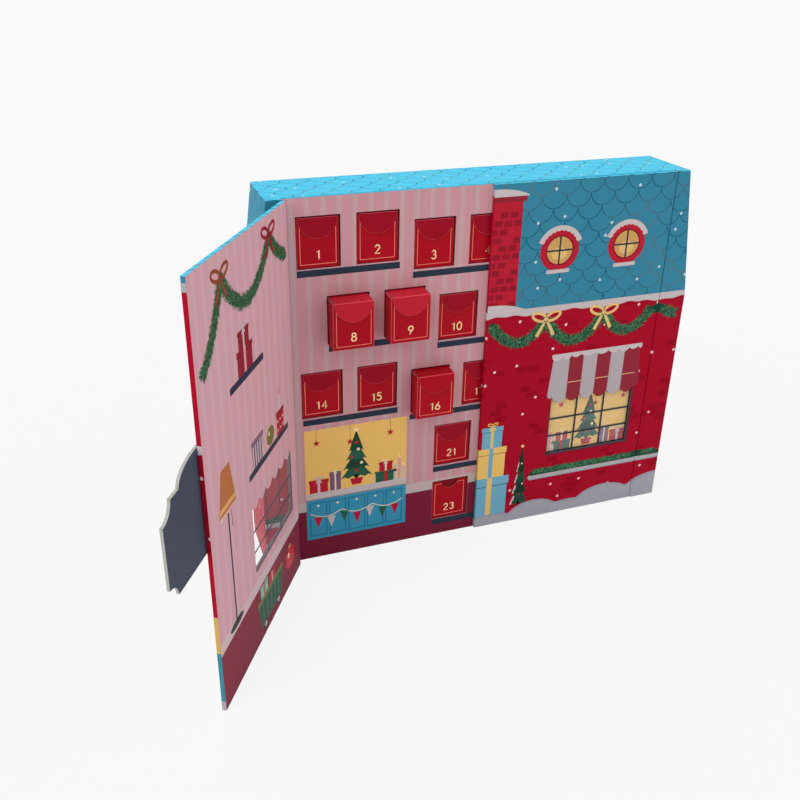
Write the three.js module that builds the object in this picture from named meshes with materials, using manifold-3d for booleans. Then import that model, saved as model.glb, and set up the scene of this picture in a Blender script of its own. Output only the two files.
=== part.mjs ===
// Advent calendar drawer box.
// A house-fronted rigid card case with two front doors that swing on paper creases. Behind the
// doors a front panel holds twenty-four numbered drawers: small lidded card cartons that slide
// in card sleeves. Each door has a scalloped window with a clear film. A shaped plaque on the left
// door laps over the right one, and a magnet in it holds both doors shut.
// Millimetres. +X is the viewer's right, +Y the back, +Z up. The origin is the middle of the
// case's underside, where it stands.
import * as THREE from 'three';
import { mergeVertices } from 'three/addons/utils/BufferGeometryUtils.js';
import Module from 'manifold-3d';

const wasm = await Module();
wasm.setup();

// Drawer carton and its tongue lid
const drawerWidth = 30.8;
const drawerHeight = 35.5; // walls, without the lid
const drawerLength = 45.3;
const cartonCard = 0.6;
const foldGap = 0.3; // between a carton and its lid
const foldRound = 0.9; // outer radius of the card's folds
const thumbNotchRadius = 7.2;
const tongueDrop = 15.4; // how far the lid's round tongue hangs down the front
const lidInset = 0.9; // lid narrower than its carton on either side

// Opening in the front panel round a drawer, and the sleeve behind it
const sideClearance = 0.6;
const lowerClearance = 0.3;
const upperClearance = 1.1;
const frontRecess = 1.6; // carton front behind the panel's face
const rearClearance = 1;
const sleeveCard = 1;
const insertBacking = 0.8; // card that the sleeves are glued to
const insertGap = 0.3; // from the insert to the panel, the back board and the walls

// Rows and columns of drawers
const columnGap = 11.4; // between neighbouring openings
const evenRowShift = 0.6; // extra step either side of the middle in rows of even count
const rowGap = 21.4; // between the three upper rows
const lowRowGap = 15.5; // round the two lower rows
const raisedStep = 8.2; // outer pairs stand this much higher
const bottomMargin = 15;
const topMargin = 14;
const sideMargin = 9.3; // from the outermost opening to the door's crease

// Case and front panel
const caseWall = 2;
const backBoard = 2.3;
const panelBoard = 1.2;
const panelGlueGap = 0.2;
const topStripWidth = 11; // case front outside the crease, at the top
const eavesStripWidth = 24.5; // the same from the eaves down
const eavesHeight = 197;

// Doors, hinge strips and windows
const doorBoard = 3;
const doorClearance = 0.3; // door's inner face to the front panel
const creaseGap = 1; // between a door's board and its hinge strip's board
const meetingGap = 0.8; // between the closed doors
const doorEndClearance = 0.5; // at the door's top and bottom
const leftDoorAngle = 121.4; // degrees open as it stands
const windowInset = 13.3; // from the crease
const windowWidth = 78;
const windowSill = 62.5;
const windowHeight = 54; // up to the points between the scallops
const scallopCount = 6;
const scallopDrop = 5;
const filmThickness = 0.25;
const filmLap = 4; // film beyond the window on every side
const filmRebate = 0.6;
const filmEdgeGap = 0.3;
const filmSeatGap = 0.3;

// Closure plaque, its magnet and the keeper in the right door
const plaqueBoard = 2;
const plaqueGlueGap = 0.3;
const plaqueHalfWidth = 45.6;
const plaqueFoot = 126; // height of its lower edge
const plaqueShoulder = 61.5; // from its foot to the shoulders
const plaqueCrown = 11.2; // arch above the shoulders
const plaqueArchHalf = 24;
const plaqueShoulderRound = 11.2; // hollow upper corners
const plaqueFootRound = 9.5; // hollow lower corners
const magnetOffset = 25; // from the doors' meeting line
const magnetDiameter = 12;
const magnetThickness = 1;
const keeperDiameter = 14;
const keeperThickness = 0.8;
const pocketPlay = 0.3;

// How far three drawers stand out, by drawer number
const pulledOut = { 8: 15, 9: 15, 16: 13.7 };
const tuckedLid = 23; // this drawer's tongue is tucked inside

const cutOverrun = 1; // cutters run this far past what they cut

// Worked out from the sizes above
const openingWidth = drawerWidth + 2 * sideClearance;
const lidTop = drawerHeight + foldGap + cartonCard;
const openingHeight = lowerClearance + lidTop + upperClearance;
const columnPitch = openingWidth + columnGap;
const rowPitch = openingHeight + rowGap;
const lowRowPitch = openingHeight + lowRowGap;
const longRow = 7;
const shortRow = 6;
const doorsSpan = longRow * columnPitch - columnGap + 2 * sideMargin;
const rowFiveBase = bottomMargin;
const rowFourBase = rowFiveBase + lowRowPitch;
const rowThreeBase = rowFourBase + lowRowPitch;
const rowTwoBase = rowThreeBase + rowPitch;
const rowOneBase = rowTwoBase + rowPitch;
const caseHeight = rowOneBase + raisedStep + openingHeight + topMargin;
const insertDepth = frontRecess + drawerLength + rearClearance + insertBacking;
const caseDepth = insertDepth + insertGap + backBoard;
const faceY = -caseDepth / 2; // the front panel's face
const backY = caseDepth / 2;
const doorInnerY = faceY - doorClearance;
const doorOuterY = doorInnerY - doorBoard;
const topHalf = doorsSpan / 2 + topStripWidth;
const eavesHalf = doorsSpan / 2 + eavesStripWidth;
const doorLength = doorsSpan / 2 - (creaseGap + meetingGap) / 2;
const doorHeight = caseHeight - 2 * doorEndClearance;
const windowTop = windowSill + windowHeight;

// Finishes
const finish = (color, roughness, metalness = 0) =>
  new THREE.MeshStandardMaterial({ color, roughness, metalness });
const roofBlue = finish(0x35a7cf, 0.5);
const wallRed = finish(0xa8142a, 0.5);
const panelPink = finish(0xc9929c, 0.6);
const cartonRed = finish(0xb3122a, 0.45);
const greyCard = finish(0x9a9184, 0.9);
const plaqueSlate = finish(0x4a5265, 0.7);
const clearFilm = finish(0xdfeaee, 0.1);
const magnetNickel = finish(0xa9adb2, 0.3, 1);
const keeperSteel = finish(0x8d9196, 0.4, 1);

// A geometry as a solid that can be joined and cut, and back again
function solidOf(geometry) {
  geometry.deleteAttribute('normal');
  geometry.deleteAttribute('uv');
  const merged = mergeVertices(geometry);
  const mesh = new wasm.Mesh({
    numProp: 3,
    vertProperties: new Float32Array(merged.attributes.position.array),
    triVerts: new Uint32Array(merged.index.array),
  });
  return new wasm.Manifold(mesh);
}

function geometryOf(solid) {
  const mesh = solid.getMesh();
  const geometry = new THREE.BufferGeometry();
  geometry.setAttribute('position', new THREE.BufferAttribute(mesh.vertProperties, 3));
  geometry.setIndex(new THREE.BufferAttribute(mesh.triVerts, 1));
  geometry.computeVertexNormals();
  return geometry;
}

// Box between two corners
function block(low, high) {
  const size = high.map((value, axis) => value - low[axis]);
  const geometry = new THREE.BoxGeometry(...size);
  geometry.translate(...low.map((value, axis) => value + size[axis] / 2));
  return solidOf(geometry);
}

// Upright plate: a shape drawn in X and Z, from frontY back by its thickness
function plate(shape, frontY, thickness) {
  const geometry = new THREE.ExtrudeGeometry(shape, {
    depth: thickness,
    bevelEnabled: false,
    curveSegments: 8,
  });
  geometry.rotateX(Math.PI / 2);
  geometry.translate(0, frontY + thickness, 0);
  return solidOf(geometry);
}

// Upright column: a shape drawn in X and Y, from its foot up by its height
function column(shape, foot, height) {
  const geometry = new THREE.ExtrudeGeometry(shape, {
    depth: height,
    bevelEnabled: false,
    curveSegments: 2,
  });
  geometry.translate(0, 0, foot);
  return solidOf(geometry);
}

// Folded length: a side profile drawn in Y and Z, run across X about the middle
function foldedLength(profile, width) {
  const geometry = new THREE.ExtrudeGeometry(profile, {
    depth: width,
    bevelEnabled: false,
    curveSegments: 2,
  });
  const across = new THREE.Vector3(1, 0, 0);
  const back = new THREE.Vector3(0, 1, 0);
  const up = new THREE.Vector3(0, 0, 1);
  geometry.applyMatrix4(new THREE.Matrix4().makeBasis(back, up, across));
  geometry.translate(-width / 2, 0, 0);
  return solidOf(geometry);
}

// Round disc facing forwards
function disc(x, z, diameter, frontY, thickness) {
  const geometry = new THREE.CylinderGeometry(diameter / 2, diameter / 2, thickness, 32);
  geometry.translate(x, frontY + thickness / 2, z);
  return solidOf(geometry);
}

// The case seen from the front: upright walls to the eaves, then leaning in to the top
function houseShape(inset) {
  const lean = new THREE.Vector2(topHalf - eavesHalf, caseHeight - eavesHeight).normalize();
  const eavesX = eavesHalf - inset;
  // the leaning side moves in by the inset square to itself
  const leanStart = new THREE.Vector2(eavesHalf - inset * lean.y, eavesHeight + inset * lean.x);
  const along = (x) => leanStart.y + ((x - leanStart.x) * lean.y) / lean.x;
  const across = (z) => leanStart.x + ((z - leanStart.y) * lean.x) / lean.y;
  const topZ = caseHeight - inset;
  const shape = new THREE.Shape();
  shape.moveTo(-eavesX, inset);
  shape.lineTo(eavesX, inset);
  shape.lineTo(eavesX, along(eavesX));
  shape.lineTo(across(topZ), topZ);
  shape.lineTo(-across(topZ), topZ);
  shape.lineTo(-eavesX, along(eavesX));
  return shape;
}

// Where each drawer goes
function drawerPlaces() {
  const middle = (longRow - 1) / 2;
  const oddColumn = (index) => (index - middle) * columnPitch;
  const evenColumn = (index, count) => {
    const step = index - (count - 1) / 2;
    return step * columnPitch + Math.sign(step) * evenRowShift;
  };
  const rows = [
    { count: longRow, base: rowOneBase, raised: true },
    { count: shortRow, base: rowTwoBase, raised: true },
    { count: longRow, base: rowThreeBase, raised: true },
    { count: 2, base: rowFourBase, raised: false },
    { count: 2, base: rowFiveBase, raised: false },
  ];
  const places = [];
  rows.forEach((row, rowIndex) => {
    for (let index = 0; index < row.count; index += 1) {
      const odd = row.count % 2 === 1;
      const outerPair = row.raised && (index < 2 || index > row.count - 3);
      places.push({
        number: places.length + 1,
        row: rowIndex,
        x: odd ? oddColumn(index) : evenColumn(index, row.count),
        z: row.base + (outerPair ? raisedStep : 0),
      });
    }
  });
  return places;
}

// Tray of back board and walls, open at the front where the panel closes it
function outerCase() {
  const frontY = faceY + panelBoard + panelGlueGap;
  const body = plate(houseShape(0), frontY, backY - frontY);
  const hollowDepth = backY - backBoard - frontY + cutOverrun;
  return body.subtract(plate(houseShape(caseWall), frontY - cutOverrun, hollowDepth));
}

function frontPanel(places) {
  let panel = plate(houseShape(0), faceY, panelBoard);
  for (const place of places) {
    const left = place.x - openingWidth / 2;
    const low = [left, faceY - cutOverrun, place.z];
    const high = [left + openingWidth, faceY + panelBoard + cutOverrun, place.z + openingHeight];
    panel = panel.subtract(block(low, high));
  }
  return panel;
}

// Card sleeve round each drawer, all glued to one backing card
function cellInsert(places) {
  const frontY = faceY + panelBoard + insertGap;
  const rearY = backY - backBoard - insertGap;
  const backingY = rearY - insertBacking;
  let insert = plate(houseShape(caseWall + insertGap), backingY, insertBacking);
  for (const place of places) {
    const half = openingWidth / 2;
    const top = place.z + openingHeight;
    const tube = block(
      [place.x - half - sleeveCard, frontY, place.z - sleeveCard],
      [place.x + half + sleeveCard, rearY, top + sleeveCard],
    );
    const bore = block(
      [place.x - half, frontY - cutOverrun, place.z],
      [place.x + half, backingY, top],
    );
    insert = insert.add(tube).subtract(bore);
  }
  return insert;
}

// Board strips on the case's front outside the creases, which carry the doors
function hingeStrip(side) {
  const inner = side * (doorsSpan / 2 + creaseGap / 2);
  const shape = new THREE.Shape();
  shape.moveTo(inner, 0);
  shape.lineTo(side * eavesHalf, 0);
  shape.lineTo(side * eavesHalf, eavesHeight);
  shape.lineTo(side * topHalf, caseHeight);
  shape.lineTo(inner, caseHeight);
  return plate(shape, doorOuterY, doorBoard);
}

// Window outline, measured from the crease along the door; its top edge hangs in scallops
function windowShape(side) {
  const near = side * windowInset;
  const far = side * (windowInset + windowWidth);
  const shape = new THREE.Shape();
  shape.moveTo(near, windowSill);
  shape.lineTo(far, windowSill);
  shape.lineTo(far, windowTop);
  const step = (near - far) / scallopCount;
  for (let index = 0; index < scallopCount; index += 1) {
    const start = far + index * step;
    shape.quadraticCurveTo(start + step / 2, windowTop - 2 * scallopDrop, start + step, windowTop);
  }
  return shape;
}

// Doors are drawn closed, with the crease at the origin and the outer face at y = 0
function doorBoardSolid(side) {
  const shape = new THREE.Shape();
  const near = (side * creaseGap) / 2;
  const far = near + side * doorLength;
  shape.moveTo(near, doorEndClearance);
  shape.lineTo(far, doorEndClearance);
  shape.lineTo(far, doorEndClearance + doorHeight);
  shape.lineTo(near, doorEndClearance + doorHeight);
  const window = plate(windowShape(side), -cutOverrun, doorBoard + 2 * cutOverrun);
  const edge = filmLap + filmEdgeGap;
  const span = [side * (windowInset - edge), side * (windowInset + windowWidth + edge)];
  const rebate = block(
    [Math.min(...span), doorBoard - filmRebate, windowSill - edge],
    [Math.max(...span), doorBoard + cutOverrun, windowTop + edge],
  );
  return plate(shape, 0, doorBoard).subtract(window).subtract(rebate);
}

function windowFilm(side) {
  const span = [side * (windowInset - filmLap), side * (windowInset + windowWidth + filmLap)];
  const frontY = doorBoard - filmRebate + filmSeatGap;
  return block(
    [Math.min(...span), frontY, windowSill - filmLap],
    [Math.max(...span), frontY + filmThickness, windowTop + filmLap],
  );
}

// Right door with a pocket in its inner face for the keeper
const keeperX = -doorsSpan / 2 + magnetOffset;
const magnetHeight = plaqueFoot + plaqueShoulder / 2;

function rightDoorSolid() {
  const depth = keeperThickness + pocketPlay;
  const width = keeperDiameter + 2 * pocketPlay;
  const pocket = disc(keeperX, magnetHeight, width, doorBoard - depth, depth + cutOverrun);
  return doorBoardSolid(-1).subtract(pocket);
}

function keeperDisc() {
  const frontY = doorBoard - keeperThickness;
  return disc(keeperX, magnetHeight, keeperDiameter, frontY, keeperThickness);
}

// Plaque outline, symmetrical about the line where the doors meet
function plaqueShape() {
  const foot = plaqueFoot;
  const shoulder = plaqueFoot + plaqueShoulder;
  const half = plaqueHalfWidth;
  const shape = new THREE.Shape();
  shape.moveTo(-half + plaqueFootRound, foot);
  shape.lineTo(half - plaqueFootRound, foot);
  shape.absarc(half, foot, plaqueFootRound, Math.PI, Math.PI / 2, true);
  shape.lineTo(half, shoulder - plaqueShoulderRound);
  shape.absarc(half, shoulder, plaqueShoulderRound, -Math.PI / 2, Math.PI, true);
  shape.lineTo(plaqueArchHalf, shoulder);
  shape.absellipse(0, shoulder, plaqueArchHalf, plaqueCrown, 0, Math.PI, false, 0);
  shape.lineTo(-half + plaqueShoulderRound, shoulder);
  shape.absarc(-half, shoulder, plaqueShoulderRound, 0, -Math.PI / 2, true);
  shape.lineTo(-half, foot + plaqueFootRound);
  shape.absarc(-half, foot, plaqueFootRound, Math.PI / 2, 0, true);
  return shape;
}

const magnetX = doorsSpan / 2 + magnetOffset;
const plaqueFrontY = -plaqueGlueGap - plaqueBoard;

function closurePlaque() {
  const board = plate(plaqueShape(), plaqueFrontY, plaqueBoard);
  const depth = magnetThickness + pocketPlay;
  const width = magnetDiameter + 2 * pocketPlay;
  const front = plaqueFrontY - cutOverrun;
  const pocket = disc(magnetX, magnetHeight, width, front, depth + cutOverrun);
  return board.translate([doorsSpan / 2, 0, 0]).subtract(pocket);
}

function closureMagnet() {
  return disc(magnetX, magnetHeight, magnetDiameter, plaqueFrontY, magnetThickness);
}

// The carton's walls in plan, this far inside their outer faces, with rounded folds
function cartonPlan(inset) {
  const round = foldRound - inset;
  const side = drawerWidth / 2 - inset - round;
  const near = inset + round;
  const far = drawerLength - inset - round;
  const quarter = Math.PI / 2;
  const plan = new THREE.Shape();
  plan.absarc(side, near, round, -quarter, 0, false);
  plan.absarc(side, far, round, 0, quarter, false);
  plan.absarc(-side, far, round, quarter, 2 * quarter, false);
  plan.absarc(-side, near, round, 2 * quarter, 3 * quarter, false);
  return plan;
}

// Open-topped carton with a thumb notch, drawn with its front at y = 0 and its base at z = 0
function drawerCarton() {
  const outer = column(cartonPlan(0), 0, drawerHeight);
  const inner = column(cartonPlan(cartonCard), cartonCard, drawerHeight);
  const notchDepth = cartonCard + 2 * cutOverrun;
  const notch = disc(0, drawerHeight, 2 * thumbNotchRadius, -cutOverrun, notchDepth);
  return outer.subtract(inner).subtract(notch);
}

// The lid from the front: its full width at the fold, then a half-round tongue
function lidOutline() {
  const half = drawerWidth / 2 - lidInset;
  const outline = new THREE.Shape();
  outline.moveTo(half, lidTop + cutOverrun);
  outline.lineTo(-half, lidTop + cutOverrun);
  outline.lineTo(-half, lidTop);
  outline.absellipse(0, lidTop, half, tongueDrop, Math.PI, 2 * Math.PI, false, 0);
  return outline;
}

// The lid from the side: one strip of card, folded down at its front edge
function lidProfile(foldY) {
  const underside = lidTop - cartonCard;
  const tongueBack = foldY + cartonCard;
  const innerRound = foldRound - cartonCard;
  const profile = new THREE.Shape();
  profile.moveTo(drawerLength, underside);
  profile.lineTo(drawerLength, lidTop);
  profile.lineTo(foldY + foldRound, lidTop);
  profile.absarc(foldY + foldRound, lidTop - foldRound, foldRound, Math.PI / 2, Math.PI, false);
  profile.lineTo(foldY, lidTop - tongueDrop);
  profile.lineTo(tongueBack, lidTop - tongueDrop);
  profile.lineTo(tongueBack, underside - innerRound);
  profile.absarc(tongueBack + innerRound, underside - innerRound, innerRound, Math.PI, Math.PI / 2, true);
  return profile;
}

// Lid just above the walls, its tongue outside the front or tucked inside it
function drawerLid(tucked) {
  const foldY = tucked ? cartonCard + foldGap : -foldGap - cartonCard;
  const strip = foldedLength(lidProfile(foldY), drawerWidth);
  const outline = plate(lidOutline(), foldY - cutOverrun, drawerLength + 2 * cutOverrun - foldY);
  return strip.intersect(outline);
}

// The assembly
const calendar = new THREE.Group();

function addPiece(parent, name, solid, material) {
  const mesh = new THREE.Mesh(geometryOf(solid), material);
  mesh.name = name;
  parent.add(mesh);
  return mesh;
}

const places = drawerPlaces();
addPiece(calendar, 'outer_case', outerCase(), roofBlue);
addPiece(calendar, 'front_panel', frontPanel(places), panelPink);
addPiece(calendar, 'cell_insert', cellInsert(places), greyCard);
addPiece(calendar, 'left_hinge_strip', hingeStrip(-1), wallRed);
addPiece(calendar, 'right_hinge_strip', hingeStrip(1), wallRed);

const leftDoor = new THREE.Group();
leftDoor.position.set(-doorsSpan / 2, doorOuterY, 0);
leftDoor.rotation.z = THREE.MathUtils.degToRad(-leftDoorAngle);
addPiece(leftDoor, 'left_door', doorBoardSolid(1), wallRed);
addPiece(leftDoor, 'left_window_film', windowFilm(1), clearFilm);
addPiece(leftDoor, 'closure_plaque', closurePlaque(), plaqueSlate);
addPiece(leftDoor, 'closure_magnet', closureMagnet(), magnetNickel);
calendar.add(leftDoor);

const rightDoor = new THREE.Group();
rightDoor.position.set(doorsSpan / 2, doorOuterY, 0);
addPiece(rightDoor, 'right_door', rightDoorSolid(), wallRed);
addPiece(rightDoor, 'right_window_film', windowFilm(-1), clearFilm);
addPiece(rightDoor, 'keeper_disc', keeperDisc(), keeperSteel);
calendar.add(rightDoor);

const carton = drawerCarton();
const outsideLid = drawerLid(false);
const insideLid = drawerLid(true);
for (const place of places) {
  const tag = String(place.number).padStart(2, '0');
  const drawer = new THREE.Group();
  const out = pulledOut[place.number] ?? 0;
  drawer.position.set(place.x, faceY + frontRecess - out, place.z + lowerClearance);
  addPiece(drawer, `drawer_${tag}`, carton, cartonRed);
  const lid = place.number === tuckedLid ? insideLid : outsideLid;
  addPiece(drawer, `lid_${tag}`, lid, cartonRed);
  calendar.add(drawer);
}

export default calendar;
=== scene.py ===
import bpy, bmesh, math, random
from mathutils import Matrix, Vector
from mathutils.geometry import tessellate_polygon


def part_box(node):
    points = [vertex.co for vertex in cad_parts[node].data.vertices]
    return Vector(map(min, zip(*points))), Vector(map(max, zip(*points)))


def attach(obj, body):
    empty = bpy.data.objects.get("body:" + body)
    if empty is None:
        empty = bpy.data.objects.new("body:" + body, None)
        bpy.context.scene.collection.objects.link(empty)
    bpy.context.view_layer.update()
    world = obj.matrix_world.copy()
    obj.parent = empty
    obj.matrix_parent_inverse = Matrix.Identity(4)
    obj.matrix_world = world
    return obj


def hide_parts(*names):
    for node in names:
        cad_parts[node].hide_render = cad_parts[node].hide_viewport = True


# Advent calendar box: a hinged board house that opens on 24 small folding cartons.
# Settings are in millimetres, and Blender works in metres.
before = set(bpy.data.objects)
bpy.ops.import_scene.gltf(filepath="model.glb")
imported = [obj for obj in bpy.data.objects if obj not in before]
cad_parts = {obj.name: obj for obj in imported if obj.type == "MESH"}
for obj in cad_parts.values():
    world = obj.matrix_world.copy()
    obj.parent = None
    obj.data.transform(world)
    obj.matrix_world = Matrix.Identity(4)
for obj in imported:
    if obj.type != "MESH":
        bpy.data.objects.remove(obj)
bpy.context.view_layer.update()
mm = 0.001
print("frame loaded:", len(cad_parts), "nodes")

# what the pieces share; the panel, the doors and the top are read off the frame
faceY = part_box("front_panel")[0].y / mm
outerY, innerY = (corner.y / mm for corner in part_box("right_door"))
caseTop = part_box("outer_case")[1].z / mm
hinge = {"x": 155.5, "opening": 121.4}
eaves = 200.0
houseFront = {"chimneyHalf": 24.0, "chimneyTop": 286.0, "awningTop": 152.0,
              "windows": ((58.0, 245.0, 16.5), (117.0, 245.0, 16.5))}
# raised prints end this far from a crease, so that the doors fold right back, and from the meeting line
crease = {"clear": 2.3, "meeting": 0.5}
window = {"left": 64.2, "right": 142.2, "low": 62.5, "high": 116.5, "scallops": 6, "drop": 5.0, "rim": 1.0}
colours = {
    "navy": (42, 54, 72), "shadow": (30, 36, 50), "yellow": (242, 196, 110), "blue": (58, 150, 184),
    # drift, the snow at the foot, is darker and bluer than the other snows: painted shade where less light
    # reaches the foot
    "deepBlue": (40, 112, 146), "pale": (202, 190, 190), "drift": (166, 165, 174),
    "driftShade": (150, 156, 170), "red": (186, 26, 50), "deepRed": (140, 20, 42),
    "maroon": (146, 38, 52), "green": (44, 96, 70), "deepGreen": (30, 70, 52), "bronze": (184, 112, 62),
    "brown": (120, 70, 52), "mint": (134, 190, 170), "paleBlue": (112, 174, 200),
    "cream": (240, 222, 186), "plum": (128, 92, 122), "grey": (150, 140, 146), "ledge": (180, 176, 178),
    "olive": (118, 112, 54), "rose": (226, 160, 164), "bars": (44, 58, 66), "brickLine": (150, 20, 42),
    "giftGold": (236, 194, 106), "giftShade": (206, 166, 96), "giftBlue": (60, 132, 150),
    "bowGold": (228, 190, 126), "bowRed": (150, 28, 44), "bowBronze": (142, 72, 48),
    "pane": (206, 160, 92), "lampLight": (226, 186, 120), "shadeTrim": (224, 168, 104),
    "bauble": (206, 34, 54),
}


def inkOf(tone, share=1.0):  # a screen colour, or the name of one, made linear
    def linear(value):
        value = value / 255
        return share * (value / 12.92 if value <= 0.04045 else ((value + 0.055) / 1.055) ** 2.4)
    return tuple(linear(value) for value in colours.get(tone, tone)) + (1.0,)


def shaded(tone):  # the printed shade of an ink
    return tuple(int(value * 0.72) for value in colours.get(tone, tone))


def link(thing):
    bpy.context.scene.collection.objects.link(thing)
    return thing


def meshOf(holder):  # the evaluated object as a plain mesh
    bpy.context.view_layer.update()
    graph = bpy.context.evaluated_depsgraph_get()
    return bpy.data.meshes.new_from_object(holder.evaluated_get(graph), depsgraph=graph)


def settle(name, mesh, body, standsFor=()):
    piece = link(bpy.data.objects.new(name, mesh))
    mesh.name = name
    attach(piece, body)
    if standsFor:
        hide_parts(*standsFor)
    return piece


def maths(operation, reflected=False):  # one operator of a wire
    def act(self, other=0.0):
        return self.work(operation, other, self) if reflected else self.work(operation, self, other)
    return act


class Wire:
    # one output of a node; sums on wires add Math nodes
    def __init__(self, finish, socket):
        self.finish, self.socket = finish, socket

    def work(self, operation, first, second=0.0, clamp=False):
        settings = {"operation": operation, "use_clamp": clamp}
        return self.finish.add("ShaderNodeMath", settings, {0: first, 1: second})["Value"]

    __add__, __radd__ = maths("ADD"), maths("ADD", True)
    __sub__, __rsub__ = maths("SUBTRACT"), maths("SUBTRACT", True)
    __mul__, __rmul__ = maths("MULTIPLY"), maths("MULTIPLY", True)
    __truediv__, __rtruediv__ = maths("DIVIDE"), maths("DIVIDE", True)
    __abs__, floor, root, sine = maths("ABSOLUTE"), maths("FLOOR"), maths("SQRT"), maths("SINE")
    wrap = maths("FLOORED_MODULO")

    def over(self, edge, blur=0.12):  # 0 below the edge, 1 above it
        return self.work("MULTIPLY", self - (edge - blur / 2), 1 / blur, clamp=True)

    def under(self, edge, blur=0.12):
        return 1 - self.over(edge, blur)

    def within(self, low, high, blur=0.05):
        return self.over(low, blur) * self.under(high, blur)


class Finish:
    # a material, or another node tree, that grows node by node
    def __init__(self, name, tree=None):
        if tree is None:
            self.material = bpy.data.materials.new(name)
            self.material.use_nodes = True
        self.tree = tree or self.material.node_tree
        self.tree.nodes.clear()

    def add(self, kind, settings={}, inputs={}):
        node = self.tree.nodes.new(kind)
        for key, value in settings.items():
            setattr(node, key, value)
        for key, value in inputs.items():
            socket = node.inputs[key] if isinstance(key, int) else next(
                s for s in node.inputs if key in (s.identifier, s.name))
            if isinstance(value, Wire):
                self.tree.links.new(value.socket, socket)
            else:
                socket.default_value = value
        outputs = {s.name: Wire(self, s) for s in reversed(node.outputs) if s.enabled}
        outputs.update({s.identifier: Wire(self, s) for s in node.outputs})
        return outputs

    def mix(self, mask, low, high, way="MIX"):  # between two inks
        low, high = (tone if isinstance(tone, Wire) or len(tone) == 4 and tone not in colours else inkOf(tone)
                     for tone in (low, high))
        return self.add("ShaderNodeMix", {"data_type": "RGBA", "blend_type": way},
                        {"Factor_Float": mask, "A_Color": low, "B_Color": high})["Result_Color"]

    def grain(self, size, detail=2.0, vector=None):  # noise whose blobs are about this many mm
        return self.add("ShaderNodeTexNoise", {"noise_dimensions": "3D"},
                        {"Vector": vector or self.place(), "Scale": 1 / size, "Detail": detail})["Fac"]

    def place(self, turned=False):  # Object coordinates in mm, the left door's swung shut
        where = self.add("ShaderNodeTexCoord")["Object"]
        angle = math.radians(hinge["opening"]) if turned else 0.0
        pivot = Vector((-hinge["x"], outerY, 0))
        shift = pivot - Matrix.Rotation(angle, 3, "Z") @ pivot
        values = {"Vector": where, "Location": shift, "Rotation": (0, 0, angle), "Scale": (1 / mm,) * 3}
        return self.add("ShaderNodeMapping", {"vector_type": "POINT"}, values)["Vector"]

    def axes(self, turned=False):
        parts = self.add("ShaderNodeSeparateXYZ", {}, {"Vector": self.place(turned)})
        return parts["X"], parts["Y"], parts["Z"]

    def point(self, x, y):
        return self.add("ShaderNodeCombineXYZ", {}, {"X": x, "Y": y, "Z": 0.0})["Vector"]

    def bump(self, height, strength, distance):
        values = {"Height": height, "Strength": strength, "Distance": distance * mm}
        return self.add("ShaderNodeBump", {}, values)["Normal"]

    def tint(self, ink, size=1.6, amount=0.05):  # the slight unevenness of a print
        return self.mix(amount * 2 * (1 - self.grain(size, 3.0)), ink, (0.55, 0.53, 0.52, 1), "MULTIPLY")

    def close(self, **sockets):  # the surface itself
        names = {"ink": "Base Color", "rough": "Roughness", "metal": "Metallic", "alpha": "Alpha",
                 "shine": "Specular IOR Level", "normal": "Normal"}
        values = {names[key]: value for key, value in sockets.items()}
        surface = self.add("ShaderNodeBsdfPrincipled", {}, values)["BSDF"]
        self.add("ShaderNodeOutputMaterial", {}, {"Surface": surface})
        return self.material

    def paper(self, ink, speck=1.6, amount=0.05, rough=0.5, shine=0.03, fibre=0.35):  # printed wrap
        return self.close(ink=self.tint(ink, speck, amount), rough=rough, shine=shine,
                          normal=self.bump(self.grain(fibre), 0.12, 0.02))


outerPrint = {
    "roof": (59, 134, 160), "roofHigh": (76, 190, 222), "scallopLine": (14, 72, 98),
    "scallopGold": (98, 110, 98), "scallop": 10.3, "line": 0.58, "wall": (168, 12, 39),
    "darkBrick": (146, 4, 30), "brick": (10.4, 6.0), "mortar": 1.0, "brickShare": (0.35, 0.585),
    "goldPatch": 60.0, "roofPatch": (14.0, 0.93), "lineStrength": 0.88, "darkStrength": 0.7,
    "flake": (236, 200, 204), "roofFlake": (190, 210, 222), "dot": 1.2, "dotPitch": 29.0, "dotSpread": 0.75,
    "snow": (198, 187, 188), "bandLow": 194.6, "waves": ((0.11, 0.8), (0.37, 0.5)), "ledge": 40.0,
    "frame": (50, 52, 64), "cloth": (180, 169, 173), "clothRed": (146, 40, 54),
}
innerPrint = {
    "pink": (204, 150, 156), "stripe": (199, 165, 168), "pitch": 11.5, "phase": 5.8, "stripeWidth": 3.4,
    "soft": 1.4, "dado": (124, 36, 58), "dadoTop": 46.0, "rail": (199, 180, 177), "railTall": 9.0,
}
doorPrint = {
    "fade": 0.35, "phase": 2.0, "pink": (214, 164, 172), "stripe": (212, 178, 184), "dado": (134, 52, 66),
    "rail": (212, 186, 188),
}


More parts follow.
